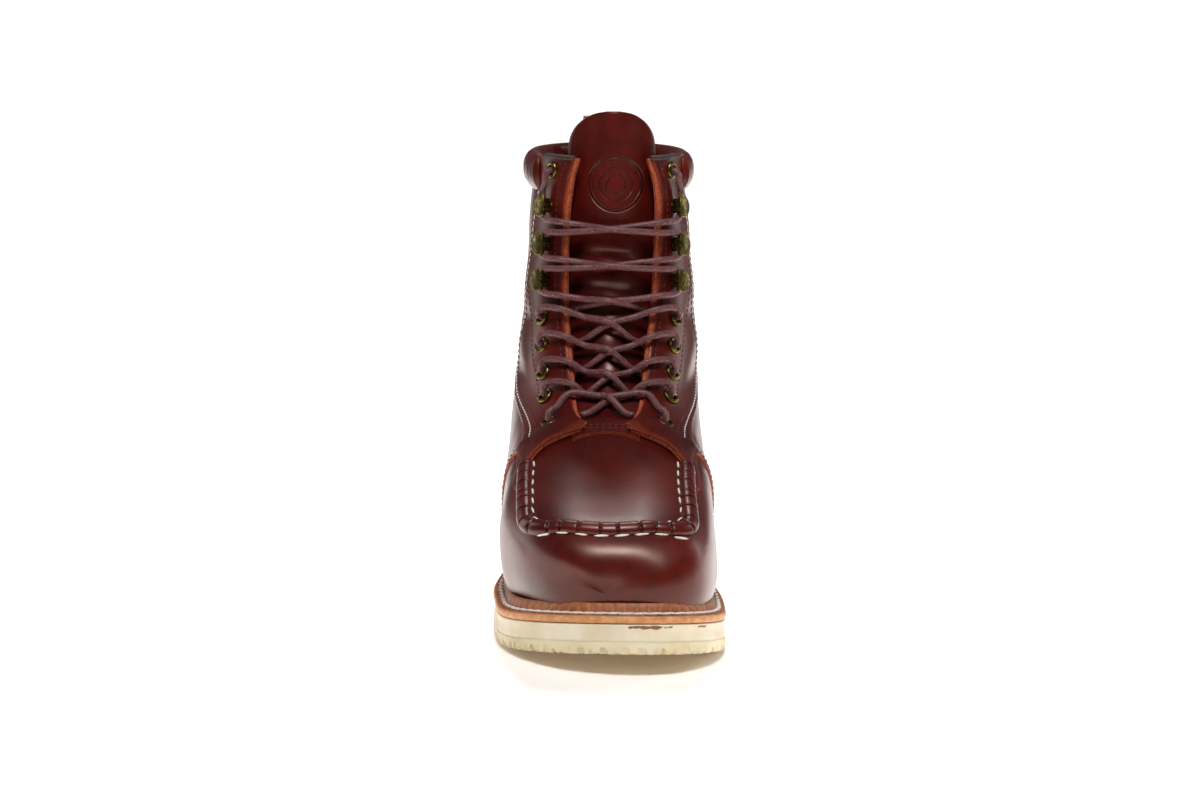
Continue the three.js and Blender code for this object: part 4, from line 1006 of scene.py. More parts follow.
# The crease flag also carries painted shade: the creases are darkened in the colour as well as cut into the
# roll.
flags = {"crease": (crease[:, None] * upper_share).ravel(), "edge_room": np.full(900 * roll_count, 9.0)}
puckered = pull_up.copy()
puckered.name = "oxblood_leather_drawn_tight"
tree = puckered.node_tree
shader = tree.nodes["Principled BSDF"]
body = shader.inputs["Base Color"].links[0].from_socket
# Painted shade: the leather is darkened towards #1c0504 in the creases of the roll.
dark = add_node(tree, "ShaderNodeAttribute", {"attribute_name": "crease"}).outputs["Fac"]
crease_shaded = add_node(tree, "ShaderNodeMix", {"data_type": "RGBA"}, i0=dark, i6=body, i7=hex_colour("#1c0504"))
tree.links.new(crease_shaded.outputs[2], shader.inputs["Base Color"])
toe_seam = new_piece("toe_seam_roll", tube.reshape(-1, 3), faces, [puckered], flags=flags)
outward_faces(toe_seam)
dress(toe_seam, "oxblood_leather")

rows_of_thread = []
for outwards, first, last, length in [(-4.0, 325, 575, 7.6), (4.3, 60, 330, 6.6), (4.3, 570, 840, 6.6)]:
    line_points, line_normals = seam_line(outwards)
    line_points, line_normals = line_points[first:last], line_normals[first:last]
    rows_of_thread.append(sew("dashes", line_points + line_normals * 0.2, line_normals, white_thread,
                              seam_run[-1] / pucker_count, length, 1.15, seed=3, uneven=0.2))
toe_thread = join("toe_seam_thread", rows_of_thread)
dress(toe_thread, "oxblood_leather")


# The quarters are one wrap of the same leather from the throat round the heel, over the vamp.
# The front edge is left raw, and a double-stitched arch is cut out of the lower edge over the waist.
quarter_front = [(0.430, 1.150), (0.427, 1.070), (0.389, 1.020), (0.362, 0.974), (0.342, 0.914),
                 (0.320, 0.864), (0.291, 0.812), (0.256, 0.757)]
arch_edge = [(0.260, 0.748), (0.288, 0.768), (0.318, 0.800), (0.352, 0.838), (0.376, 0.862), (0.393, 0.852),
             (0.405, 0.808), (0.415, 0.732), (0.424, 0.620), (0.434, 0.500)]


def side_view(outline):
    outline = np.asarray(outline, float)
    return np.column_stack([place(outline[:, 0] * sole_length), up_at(outline[:, 1])])


arch_line = side_view(soft_line(arch_edge, 8))
quarter_line = np.concatenate([
    side_view(soft_line(quarter_front, 8)),
    arch_line,
    side_view([(0.445, 0.3), (0.50, 0.0), (1.05, 0.0), (1.05, 1.870), (0.50, 1.870), (0.46, 1.35)]),
])
shaft_rows = np.linspace(5.2, 19.3, 190)
shaft_turns = np.linspace(0, 1, 301)
shaft_grid = ring_point(shaft_rows[:, None], shaft_turns[None, :])
shaft_normals = ring_normal(shaft_rows[:, None], shaft_turns[None, :])
shaft_grid = shaft_grid + shaft_normals * fold_at(shaft_grid)[..., None]


def throat_gap(points, rows, setback):
    """How far a grid point is clear of the throat's edge, and far away behind the boot's sides."""
    middle = section_at(rows)[0][:, 0][:, None]
    gap = np.abs(points[..., 0] - middle) - throat_half(points[..., 2]) - setback
    return np.where((points[..., 2] > 93) & (np.abs(points[..., 0] - middle) < 40), gap, 40)


shaft_front = np.abs(shaft_turns - 0.5)[None, :] < 0.26
gap = np.where(shaft_front, throat_gap(shaft_grid, shaft_rows, 1.3), 40)
shaft_y, shaft_z = shaft_grid[..., 1], shaft_grid[..., 2]
keep = np.minimum.reduce([signed_distance(quarter_line, shaft_y, shaft_z), gap,
                          shaft_z - midsole_top(shaft_y) - 1.0])


def ear_lift(at):
    """The front edge stands off the vamp beside the throat, where the laces pull it up."""
    near = 1 - smooth(0, 9, signed_distance(quarter_line, at[:, 1], at[:, 2]))
    return 1.8 * near * smooth(80, 90, at[:, 2]) * (at[:, 1] < -14)


def quarter_inner(at):
    return mix(0.05, -0.9, smooth(102, 116, at[:, 2])) + 0.6 * ear_lift(at)


quarters = leather_panel("quarters", shaft_grid, shaft_normals, keep, lambda at: quarter_out + ear_lift(at),
                         quarter_inner, [pull_up, raw_edge])
dress(quarters, "oxblood_leather")


# The facings carry the lace holes. Each is a second layer over the quarter's front, raw all round,
# and its rear edge is held by three rows of thread, a white one between two of maroon.
facing_back = [(0.312, 0.830), (0.345, 0.852), (0.400, 0.896), (0.474, 0.955), (0.530, 0.994), (0.590, 1.042),
               (0.650, 1.125), (0.674, 1.270), (0.683, 1.550), (0.683, 1.900)]
facing_line = np.concatenate([
    side_view(soft_line(quarter_front[:6], 8)),
    side_view(soft_line(facing_back, 8)),
    side_view([(0.683, 2.2), (0.46, 2.2), (0.46, 1.35)]),
])
facing_rows = np.linspace(6.0, 22.0, 220)
facing_turns = np.linspace(0.22, 0.78, 251)
facing_grid = ring_point(facing_rows[:, None], facing_turns[None, :])
facing_normals = ring_normal(facing_rows[:, None], facing_turns[None, :])
facing_grid = facing_grid + facing_normals * fold_at(facing_grid)[..., None]
keep = np.minimum(signed_distance(facing_line, facing_grid[..., 1], facing_grid[..., 2]),
                  throat_gap(facing_grid, facing_rows, 0.3))
facings = leather_panel("facings", facing_grid, facing_normals, keep, lambda at: facing_out + ear_lift(at),
                        lambda at: 1.55 + ear_lift(at), [pull_up, raw_edge],
                        edge_round=0.3, edge_width=0.9)
dress(facings, "oxblood_leather")

# The quarter shows again above the roll's seam only as this under-layer of the facing
keep = np.minimum(signed_distance(facing_line, facing_grid[..., 1], facing_grid[..., 2]) - 0.5,
                  throat_gap(facing_grid, facing_rows, -1.3))
under_facing = leather_panel("facing_backing", facing_grid, facing_normals, keep,
                             lambda at: 1.25 + 0.9 * ear_lift(at), -0.9, [raw_edge, raw_edge])
dress(under_facing, "oxblood_leather")


def on_side(y, z, side):
    """Rows and turns of the form's points with these side-view places, on one side of the boot."""
    grid_rows, grid_turns = np.linspace(4, 21.9, 180), np.linspace(0.02, 0.49, 120)
    if side < 0:
        grid_turns = 1 - grid_turns
    guess = ring_point(grid_rows[:, None], grid_turns[None, :])
    row, turn = np.empty(len(y)), np.empty(len(y))
    for at, (want_y, want_z) in enumerate(zip(y, z)):
        near = np.argmin((guess[..., 1] - want_y) ** 2 + (guess[..., 2] - want_z) ** 2)
        row[at], turn[at] = grid_rows[near // 120], grid_turns[near % 120]
    for _ in range(4):
        here = ring_point(row, turn)
        by_row = (ring_point(row + 0.01, turn) - here) / 0.01
        by_turn = (ring_point(row, turn + 0.001) - here) / 0.001
        miss_y, miss_z = y - here[:, 1], z - here[:, 2]
        size = by_row[:, 1] * by_turn[:, 2] - by_row[:, 2] * by_turn[:, 1]
        size = np.where(np.abs(size) < 1e-3, 1e-3, size)
        row = row + np.clip((miss_y * by_turn[:, 2] - miss_z * by_turn[:, 1]) / size, -0.3, 0.3)
        turn = turn + np.clip((by_row[:, 1] * miss_z - by_row[:, 2] * miss_y) / size, -0.02, 0.02)
    return row, turn


def lay_on_side(line, side, off):
    """A side-view line laid on the leather at a height over the form, with its normals."""
    row, turn = on_side(line[:, 0], line[:, 1], side)
    points, normals = ring_point(row, turn), ring_normal(row, turn)
    points = points + normals * (fold_at(points) + off)[:, None]
    together = even_steps(np.column_stack([points, normals]), max(len(line), 60))
    return together[:, :3], unit(together[:, 3:])


def beside(line, distance):
    """A side-view line moved sideways, to the right of the way it runs."""
    run = np.gradient(line, axis=0)
    run /= np.maximum(np.linalg.norm(run, axis=1), 1e-9)[:, None]
    return line + np.stack([run[:, 1], -run[:, 0]], 1) * distance


maroon_rows, white_rows = [], []
back_line = side_view(soft_line(facing_back[1:], 8))
for side in (1, -1):
    for distance, thread in [(-2.0, maroon_thread), (-4.0, white_thread), (-6.0, maroon_thread)]:
        points, normals = lay_on_side(beside(back_line, distance), side, facing_out + 0.05)
        row = sew("back", points, normals, thread, 3.2, 2.5, 0.75, seed=11)
        (white_rows if thread is white_thread else maroon_rows).append(row)
    for distance, thread in [(2.2, maroon_thread), (4.2, white_thread), (6.2, maroon_thread)]:
        line = beside(arch_line, -distance)
        inside = signed_distance(quarter_line, line[:, 0], line[:, 1]) > 1.6
        points, normals = lay_on_side(line[inside], side, quarter_out + 0.05)
        row = sew("arch", points, normals, thread, 3.2, 2.5, 0.75, seed=12)
        (white_rows if thread is white_thread else maroon_rows).append(row)
    for setback, start_up, end_up, off in [(3.4, 1.05, 1.98, facing_out), (16.5, 1.03, 1.47, facing_out)]:
        heights = up_at(np.linspace(start_up, end_up, 90))
        across = side * (throat_half(heights) + setback)
        rows = row_at_height(heights, across)
        points, normals = front_point(rows, across), front_normal(rows, across)
        points = points + normals * (fold_at(points) + off + 0.05)[:, None]
        maroon_rows.append(sew("eyestay", points, normals, maroon_thread, 3.2, 2.5, 0.7, seed=13))
white_sewing = join("quarter_white_thread", white_rows)
dress(white_sewing, "oxblood_leather")
maroon_sewing = join("quarter_maroon_thread", maroon_rows)
dress(maroon_sewing, "oxblood_leather")


# The collar is a padded roll: glove leather over foam, stitched down round the top of the shaft.
# It stops behind the facings, and soft puckers cross it where it turns the heel.
collar_steps = 300
collar_turn = np.linspace(-0.335, 0.335, collar_steps)
collar_count = 36
half_count = collar_count // 2
outer_share = np.linspace(0, 1, half_count)
rows = mix(roll_start_row - 0.15, collar_row, outer_share)
outer_grid = ring_point(rows[None, :], (collar_turn % 1.0)[:, None])
outer_normal = ring_normal(rows[None, :], (collar_turn % 1.0)[:, None])
taper = smooth(place((facing_rear - 0.075) * sole_length), place((facing_rear - 0.01) * sole_length),
               outer_grid[:, half_count // 2, 1])[:, None]
collar_phase = np.linspace(0, 34, collar_steps)[:, None]
pucker = np.exp(-((((collar_phase + 0.35 * np.sin(collar_phase * 1.7)) % 1) - 0.5) / 0.11) ** 2)
pucker = pucker * (0.35 + 0.25 * np.sin(collar_phase * 0.9))
round_share = np.sqrt(np.clip(1 - (2 * outer_share - 1) ** 2, 0, 1))[None, :]
outside = quarter_out - 0.2 + 4.7 * taper * round_share * (1 - 0.12 * pucker)
inside = -1.6 - 3.4 * taper * round_share * (1 - 0.15 * pucker)
outer_points = outer_grid + outer_normal * outside[..., None]
inner_points = (outer_grid + outer_normal * inside[..., None])[:, ::-1]
collar_points = np.concatenate([outer_points, inner_points], axis=1)
count = collar_points.shape[1]
faces = ring_faces(collar_steps, count, lids=True)
collar = new_piece("collar_roll", collar_points.reshape(-1, 3), faces, [pull_up],
                   flags={"edge_room": np.full(collar_steps * count, 9.0)})
outward_faces(collar)
dress(collar, "oxblood_leather")


# The lining is soft unfinished leather, glued inside the shaft and foot and turned out at the collar.
# It is brown-grey and matt, and shows inside the collar and as the inner ply at the throat.
lining_suede, tree, shader = new_finish("napped_lining_leather")
where = add_node(tree, "ShaderNodeTexCoord").outputs["Object"]
nap = add_node(tree, "ShaderNodeTexNoise", Vector=where, Scale=220.0, Detail=6.0, Roughness=0.7)
tree.links.new(
    add_node(tree, "ShaderNodeValToRGB", Fac=nap.outputs["Fac"],
             stops=[(0.3, "#3c2c26"), (0.5, "#58453c"), (0.7, "#6d594d")]).outputs["Color"],
    shader.inputs["Base Color"],
)
bump = add_node(tree, "ShaderNodeBump", Strength=0.4, Distance=0.0004, Height=nap.outputs["Fac"])
tree.links.new(bump.outputs["Normal"], shader.inputs["Normal"])
shader.inputs["Roughness"].default_value = 0.85
shader.inputs["Sheen Weight"].default_value = 0.2

lining_rows = np.concatenate([np.linspace(4.8, 8, 36), np.linspace(8, 21.6, 84)[1:]])
lining_turns = np.linspace(0, 1, 151)
lining_grid = ring_point(lining_rows[:, None], lining_turns[None, :])
lining_normals = ring_normal(lining_rows[:, None], lining_turns[None, :])
lining_grid = lining_grid + lining_normals * (0.6 * fold_at(lining_grid))[..., None]
middle = section_at(lining_rows)[0][:, 0][:, None]
front_gap = np.abs(lining_grid[..., 0] - middle) - throat_half(lining_grid[..., 2]) - 1.6
in_front = (np.abs(lining_turns - 0.5)[None, :] < 0.22) & (lining_grid[..., 2] > 98)
over_sole = lining_grid[..., 2] - midsole_top(lining_grid[..., 1]) - 1.5
keep = np.minimum(np.where(in_front, front_gap, 30), over_sole)
lining = leather_panel("lining", lining_grid, lining_normals, keep, -1.95, -2.6, [lining_suede, lining_suede],
                       edge_round=0.1)
dress(lining, "lining_leather")

# A dark binding strip is folded over the facings' top edges, from the throat back to the roll
binding_leather, tree, shader = new_finish("dark_binding_leather")
where = add_node(tree, "ShaderNodeTexCoord").outputs["Object"]
nap = add_node(tree, "ShaderNodeTexNoise", Vector=where, Scale=300.0, Detail=5.0)
tree.links.new(
    add_node(tree, "ShaderNodeValToRGB", Fac=nap.outputs["Fac"],
             stops=[(0.3, "#24120f"), (0.7, "#43241d")]).outputs["Color"], shader.inputs["Base Color"]
)
shader.inputs["Roughness"].default_value = 0.5


def tube_along(points, side_radius, rise_radius, normals, count=12):
    """A closed oval tube along a line, its flatter side against the leather."""
    points = np.asarray(points, float)
    run = unit(np.gradient(points, axis=0))
    side = unit(np.cross(run, normals))
    rise = np.cross(side, run)
    turn = np.linspace(0, 2 * np.pi, count, endpoint=False)
    tube = (points[:, None, :] + side[:, None, :] * (np.cos(turn) * side_radius)[None, :, None]
            + rise[:, None, :] * (np.sin(turn) * rise_radius)[None, :, None])
    faces = ring_faces(len(points), count, lids=True)
    return tube.reshape(-1, 3), faces


bindings = []
for side in (1, -1):
    reach = np.linspace(throat_half(collar_height) + 0.3, 33, 40)
    rows = np.full(40, collar_row - 0.05)
    points = front_point(rows, side * reach) + front_normal(rows, side * reach) * 0.35
    points[:, 2] += 0.3
    lying = np.tile([0.0, 0.0, 1.0], (40, 1))
    tube, faces = tube_along(points, 2.9, 1.5, lying)
    bindings.append(outward_faces(new_piece("binding", tube, faces, [binding_leather])))
binding = join("collar_binding", bindings)
dress(binding, "lining_leather")


# The tongue is a long flap of the same leather, lapped on the vamp and sewn down with two rows.
# It swells between the facings, creases under the laces and stands above the collar in an arch.
tongue_thickness = 3.0
tongue_rise = 24.0
tongue_half_width = 28.0
upper_wall = 2.4
lace_diameter = 3.3
lace_radius = lace_diameter / 2
lace_room = lace_diameter + clearance
tongue_base_row = throat_row - 0.36
skived_base = 2.1
tongue_top = collar_height + tongue_rise
tongue_top_row = float(bisect(collar_row, len(SECTIONS) - 1,
                              lambda r: section_at(r)[0][..., 2] - tongue_top, 0.0))


def tongue_half(row):
    base = 16.5
    full = mix(base, tongue_half_width, smooth(throat_row + 1.3, throat_row + 3, row))
    arch = np.maximum(row - collar_row, 0) / (tongue_top_row - collar_row)
    return full * np.sqrt(np.maximum(1 - arch**3.2, 0.02))


def tongue_face(row, across):
    gap = throat_half(section_at(row)[0][..., 2])
    swell = mix(-0.8, -upper_wall - lace_room, smooth(0, gap, np.abs(across)))
    return mix(skived_base, swell, smooth(throat_row + 0.2, throat_row + 1.35, row))


tongue_rows = np.concatenate([np.linspace(tongue_base_row, 10, 60), np.linspace(10, collar_row, 100)[1:],
                              mix(collar_row, tongue_top_row, np.sin(np.pi / 2 * np.linspace(0, 1, 34)[1:]))])
tongue_shares = np.sin(np.pi / 2 * np.linspace(-1, 1, 73))
row_grid, share_grid = np.meshgrid(tongue_rows, tongue_shares, indexing="ij")
tongue_across = share_grid * tongue_half(row_grid)
row_grid = row_grid - 0.4 * share_grid**2 * (1 - smooth(tongue_base_row, throat_row + 1.2, row_grid))
bare = front_point(row_grid, tongue_across)
tongue_out = front_normal(row_grid, tongue_across)
up_z = bare[..., 2]
# Creases under the laces, deepest at the bend of the ankle: height, tilt, width and depth of each
TONGUE_CREASES = [
    (176, 0.10, 2.6, -1.5), (181, 0.06, 3.2, 0.9), (170, -0.08, 2.4, -1.0), (165, 0.05, 3.0, 0.8),
    (160, 0.12, 2.2, -0.9), (150, -0.1, 2.6, -0.7), (141, 0.08, 2.4, -0.6), (131, -0.06, 2.4, -0.6),
    (122, 0.05, 2.4, -0.5), (192, 0.03, 4.0, -0.5),
]
relief = np.zeros(up_z.shape)
for height, tilt, width, depth in TONGUE_CREASES:
    relief += depth * bell(up_z + tilt * tongue_across, height, width) * bell(tongue_across, 0, 17)
# A plain mark of concentric rings is pressed into the tongue near its top
ring_x, ring_z = 2.7, 213.0
rim = 1 - smooth(0.94, 1.0, np.abs(share_grid))
rim = rim * (1 - smooth(tongue_top_row - 0.05, tongue_top_row, row_grid))
face_off = tongue_face(row_grid, tongue_across) + relief - 0.8 * (1 - rim)
face_points = bare + tongue_out * face_off[..., None]
back_off = tongue_face(row_grid, tongue_across) + 0.5 * relief - tongue_thickness + 0.6 * (1 - rim)
back_points = bare + tongue_out * back_off[..., None]
front_part, back_part, walls = sheet_faces(*row_grid.shape)
faces = np.concatenate([front_part, back_part, walls]).tolist()
index = [0] * len(front_part) + [2] * len(back_part) + [1] * len(walls)
embossed = pull_up.copy()
embossed.name = "oxblood_tongue_leather"
tree = embossed.node_tree
shader = tree.nodes["Principled BSDF"]
body = shader.inputs["Base Color"].links[0].from_socket
where = add_node(tree, "ShaderNodeTexCoord").outputs["Object"]
centred = add_node(tree, "ShaderNodeMapping", Vector=where, Location=(-ring_x * 0.001, 0, -ring_z * 0.001),
                   Scale=(1.0, 0.0, 1.0))
reach = add_node(tree, "ShaderNodeVectorMath", {"operation": "LENGTH"}, i0=centred.outputs[0])
dark_sum = None
for radius, width in [(0.0140, 0.0006), (0.0124, 0.0003), (0.0086, 0.0004), (0.0050, 0.0005)]:
    off = add_node(tree, "ShaderNodeMath", {"operation": "SUBTRACT"}, i0=reach.outputs["Value"], i1=radius)
    off = add_node(tree, "ShaderNodeMath", {"operation": "ABSOLUTE"}, i0=off.outputs[0])
    line = add_node(tree, "ShaderNodeMapRange", Value=off.outputs[0], From_Min=width, From_Max=width * 0.4,
                    To_Min=0.0, To_Max=1.0)
    dark_sum = line.outputs[0] if dark_sum is None else add_node(
        tree, "ShaderNodeMath", {"operation": "MAXIMUM"}, i0=dark_sum, i1=line.outputs[0]).outputs[0]
weight = add_node(tree, "ShaderNodeMath", {"operation": "MULTIPLY"}, i0=dark_sum, i1=0.8)
stamped = add_node(tree, "ShaderNodeMix", {"data_type": "RGBA"}, i0=weight.outputs[0], i6=body,
                   i7=hex_colour("#1d0706"))
tree.links.new(stamped.outputs[2], shader.inputs["Base Color"])
sunk = add_node(tree, "ShaderNodeMath", {"operation": "MULTIPLY"}, i0=dark_sum, i1=-1.0)
old_bump = shader.inputs["Normal"].links[0].from_socket
bump = add_node(tree, "ShaderNodeBump", Strength=0.8, Distance=0.0004, Height=sunk.outputs[0],
                Normal=old_bump)
tree.links.new(bump.outputs["Normal"], shader.inputs["Normal"])
flags = {"edge_room": np.concatenate([np.minimum((1 - np.abs(share_grid)) * 26, 9).ravel()] * 2)}
tongue_points = np.concatenate([face_points.reshape(-1, 3), back_points.reshape(-1, 3)])
tongue = new_piece("tongue_flap", tongue_points, faces, [embossed, raw_edge, lining_suede], index, flags)
outward_faces(tongue)
tongue.data.set_sharp_from_angle(angle=math.radians(50))
dress(tongue, "oxblood_leather", "tongue")

base_rows = []
for up_rows in (0.16, 0.36):
    across = np.linspace(-1, 1, 60) * (float(tongue_half(np.asarray(tongue_base_row))) - 2.5)
    rows = np.full(60, tongue_base_row + up_rows)
    normals = front_normal(rows, across)
    points = front_point(rows, across) + normals * (tongue_face(rows, across) + 0.05)[:, None]
    base_rows.append(sew("lap", points, normals, maroon_thread, 3.0, 2.3, 0.7, seed=5))
tongue_thread = join("tongue_lap_thread", base_rows)
dress(tongue_thread, "oxblood_leather")


# Lace holes: brass eyelets, dipped dark and rubbed bright on their rims, are clenched through both plies.
# The lowest five rows and the top row have eyelets, and hooks stand between.
antique_brass, tree, shader = new_finish("antiqued_brass")
where = add_node(tree, "ShaderNodeTexCoord").outputs["Object"]
patina = add_node(tree, "ShaderNodeTexNoise", Vector=where, Scale=420.0, Detail=5.0, Roughness=0.65)
tree.links.new(
    add_node(tree, "ShaderNodeValToRGB", Fac=patina.outputs["Fac"],
             stops=[(0.32, "#2c2511"), (0.5, "#615428"), (0.68, "#a0904e")]).outputs["Color"],
    shader.inputs["Base Color"],
)
rub = add_node(tree, "ShaderNodeMapRange", Value=patina.outputs["Fac"], From_Min=0.3, From_Max=0.7,
               To_Min=0.5, To_Max=0.24)
tree.links.new(rub.outputs[0], shader.inputs["Roughness"])
shader.inputs["Metallic"].default_value = 1.0

eyelet_hole = 5.0
eyelet_flange = 9.0
# up, half spacing as a share of ball width, hooks
LACE_ROWS = [
    (1.000, 0.250, False), (1.078, 0.272, False), (1.159, 0.281, False), (1.256, 0.288, False),
    (1.364, 0.292, False), (1.508, 0.279, True), (1.651, 0.278, True), (1.798, 0.270, True),
    (1.948, 0.257, False),
]


class FacingPlace:
    """A place on a facing, with the ways out of it, up along it and away from the throat."""

    def __init__(self, height, across):
        row = row_at_height(np.asarray(float(height)), across)
        self.out = front_normal(row, across)
        self.up = unit(front_point(row + 0.05, across) - front_point(row - 0.05, across))
        self.sign = 1.0 if across > 0 else -1.0
        self.away = unit(np.cross(self.up, self.out) * self.sign)
        self.at = front_point(row, across)

    def point(self, away_by, up_by, out_by):
        return self.at + self.away * away_by + self.up * up_by + self.out * out_by


lace_rows = [
    (float(up_at(up)), hooks, [FacingPlace(up_at(up), sign * half * ball_width) for sign in (1, -1)])
    for up, half, hooks in LACE_ROWS
]

# One tree sets a fitting at every place, square to the leather and turned away from the throat
setting = bpy.data.node_groups.new("setting", "GeometryNodeTree")
setting.is_modifier = True
setting.interface.new_socket(name="Places", in_out="INPUT", socket_type="NodeSocketGeometry")
setting.interface.new_socket(name="Fitting", in_out="INPUT", socket_type="NodeSocketObject")
setting.interface.new_socket(name="Metal", in_out="INPUT", socket_type="NodeSocketMaterial")
setting.interface.new_socket(name="Fittings", in_out="OUTPUT", socket_type="NodeSocketGeometry")
given = add_node(setting, "NodeGroupInput").outputs
outward = add_node(setting, "GeometryNodeInputNamedAttribute", {"data_type": "FLOAT_VECTOR"}, Name="outward")
away = add_node(setting, "GeometryNodeInputNamedAttribute", {"data_type": "FLOAT_VECTOR"}, Name="away")
spots = add_node(setting, "GeometryNodeMeshToPoints", Mesh=given["Places"])
standing = add_node(setting, "FunctionNodeAlignEulerToVector", {"axis": "Z"}, Vector=outward.outputs[0])
facing_away = add_node(setting, "FunctionNodeAlignEulerToVector", {"axis": "X", "pivot_axis": "Z"},
                       Rotation=standing.outputs[0], Vector=away.outputs[0])
fitting = add_node(setting, "GeometryNodeObjectInfo", Object=given["Fitting"])
held = add_node(setting, "GeometryNodeInstanceOnPoints", Points=spots.outputs[0],
                Instance=fitting.outputs["Geometry"], Rotation=facing_away.outputs[0])
real = add_node(setting, "GeometryNodeRealizeInstances", Geometry=held.outputs[0])
plated = add_node(setting, "GeometryNodeSetMaterial", Geometry=real.outputs[0], Material=given["Metal"])
add_node(setting, "NodeGroupOutput", Fittings=plated.outputs[0])


def set_fittings(name, fitting, places, metal, stand):
    """The fitting set at each place, as one plain mesh. The loose fitting is then removed."""
    mesh = bpy.data.meshes.new(name + "_places")
    mesh.from_pydata([(place_.point(0, 0, stand) * 0.001).tolist() for place_ in places], [], [])
    for key, values in (("outward", [p.out for p in places]), ("away", [p.away for p in places])):
        mesh.attributes.new(key, "FLOAT_VECTOR", "POINT").data.foreach_set(
            "vector", np.array(values, np.float32).ravel())
    holder = bpy.data.objects.new(name + "_places", mesh)
    bpy.context.scene.collection.objects.link(holder)
    modifier = holder.modifiers.new("setting", "NODES")
    modifier.node_group = setting
    wanted = {"Fitting": fitting, "Metal": metal}
    for item in setting.interface.items_tree:
        if item.in_out == "INPUT" and item.name in wanted:
            modifier[item.identifier] = wanted[item.name]
    bpy.context.view_layer.update()
    made = bpy.data.meshes.new_from_object(holder.evaluated_get(bpy.context.evaluated_depsgraph_get()))
    made.name = name
    for loose in (holder, fitting):
        bpy.data.objects.remove(loose)
    made.polygons.foreach_set("use_smooth", np.ones(len(made.polygons), bool))
    made.set_sharp_from_angle(angle=math.radians(40))
    piece = bpy.data.objects.new(name, made)
    bpy.context.scene.collection.objects.link(piece)
    return piece


profile = []
for step in np.linspace(0, 1, 9):
    turn = math.pi * step
    middle = (eyelet_hole / 2 + eyelet_flange / 2) / 2
    profile.append((middle - (eyelet_flange - eyelet_hole) / 4 * math.cos(turn),
                    0.15 + 1.15 * math.sin(turn)))
profile += [(eyelet_flange / 2, 0.0), (eyelet_hole / 2 + 0.5, -0.05), (eyelet_hole / 2 + 0.5, -4.6),
            (eyelet_hole / 2, -4.6)]
turns = np.linspace(0, 2 * np.pi, 32, endpoint=False)
lathe = np.array([[(r * math.cos(t), r * math.sin(t), z) for t in turns] for r, z in profile])
faces = ring_faces(len(profile), 32, joined=True)
eyelet_ring = outward_faces(new_piece("eyelet_ring", lathe.reshape(-1, 3), faces, [antique_brass]))
eyelet_places = [spot for _, hooks, both in lace_rows if not hooks for spot in both]
eyelets = set_fittings("brass_eyelets", eyelet_ring, eyelet_places, antique_brass, facing_out)
sides = ("medial", "lateral")
eyelet_nodes = [f"eyelet_{number}_{side}" for number, row in enumerate(lace_rows, 1) if not row[1]
                for side in sides]
dress(eyelets, "antique_brass", *eyelet_nodes)


# A lace hook is one stamping: a riveted foot, a ribbed neck on the throat's side and a half-moon plate.
# The plate is held off the leather so that the lace slips under it from outside.
plate_height = 11.6
plate_reach = 6.2
plate_thickness = 1.3
stand_off = 4.8
hook_foot = 0.8


def rounded_slab(outline, low, high, round_by):
    """A stamped plate with softened edges, from its outline in millimetres."""
    slab = bmesh.new()
    base = [slab.verts.new((x, y, low)) for x, y in outline]
    face = slab.faces.new(base)
    grown = bmesh.ops.extrude_face_region(slab, geom=[face])
    for vertex in (v for v in grown["geom"] if isinstance(v, bmesh.types.BMVert)):
        vertex.co.z = high
    bmesh.ops.recalc_face_normals(slab, faces=slab.faces)
    edges = [e for e in slab.edges if abs(e.verts[0].co.z - e.verts[1].co.z) < 1e-6]
    bmesh.ops.bevel(slab, geom=edges, offset=round_by, segments=3, affect="EDGES", profile=0.6)
    return slab


hook = bmesh.new()
moon = [(-3.3, -plate_height / 2 + 1.2), (-2.6, -plate_height / 2)]
moon += [(-0.6 + plate_reach * math.cos(t), plate_height / 2 * math.sin(t))
         for t in np.linspace(-1.5, 1.5, 22)]
moon += [(-2.6, plate_height / 2), (-3.3, plate_height / 2 - 1.2)]
disc = [(3.5 * math.cos(t), 3.5 * math.sin(t)) for t in np.linspace(0, 2 * np.pi, 24, endpoint=False)]
neck = [(-3.2, -3.6), (-1.7, -3.6), (-1.7, 3.6), (-3.2, 3.6)]
rivet = [(1.7 * math.cos(t) - 0.1, 1.7 * math.sin(t)) for t in np.linspace(0, 2 * np.pi, 16, endpoint=False)]
slabs = [(moon, stand_off, stand_off + plate_thickness, 0.45), (disc, 0, hook_foot, 0.3),
         (neck, 0.4, stand_off + 0.6, 0.4), (rivet, 0.5, 1.5, 0.4)]
for at_y in (-2.4, 0, 2.4):
    slabs.append(([(-3.75, at_y - 0.6), (-3.0, at_y - 0.6), (-3.0, at_y + 0.6), (-3.75, at_y + 0.6)], 0.9,
                  stand_off + 0.9, 0.25))
for outline, low, high, round_by in slabs:
    slab = rounded_slab(outline, low, high, round_by)
    carrier = bpy.data.meshes.new("slab")
    slab.to_mesh(carrier)
    slab.free()
    hook.from_mesh(carrier)
for vertex in hook.verts:
    if vertex.co.z > stand_off - 0.2 and vertex.co.x > -3.4:
        vertex.co.z += 0.35 - 0.02 * (vertex.co.y**2 * 0.7 + (vertex.co.x - 0.5) ** 2)
bmesh.ops.scale(hook, vec=(0.001, 0.001, 0.001), verts=hook.verts)
carrier = bpy.data.meshes.new("hook_stamping")
hook.to_mesh(carrier)
hook.free()
hook_piece = bpy.data.objects.new("hook_stamping", carrier)
bpy.context.scene.collection.objects.link(hook_piece)
hook_places = [spot for _, hooks, both in lace_rows if hooks for spot in both]
hooks = set_fittings("brass_lace_hooks", hook_piece, hook_places, antique_brass, facing_out)
hook_nodes = [f"lace_hook_{number}_{side}" for number, row in enumerate(lace_rows, 1) if row[1]
              for side in sides]
dress(hooks, "antique_brass", *hook_nodes)


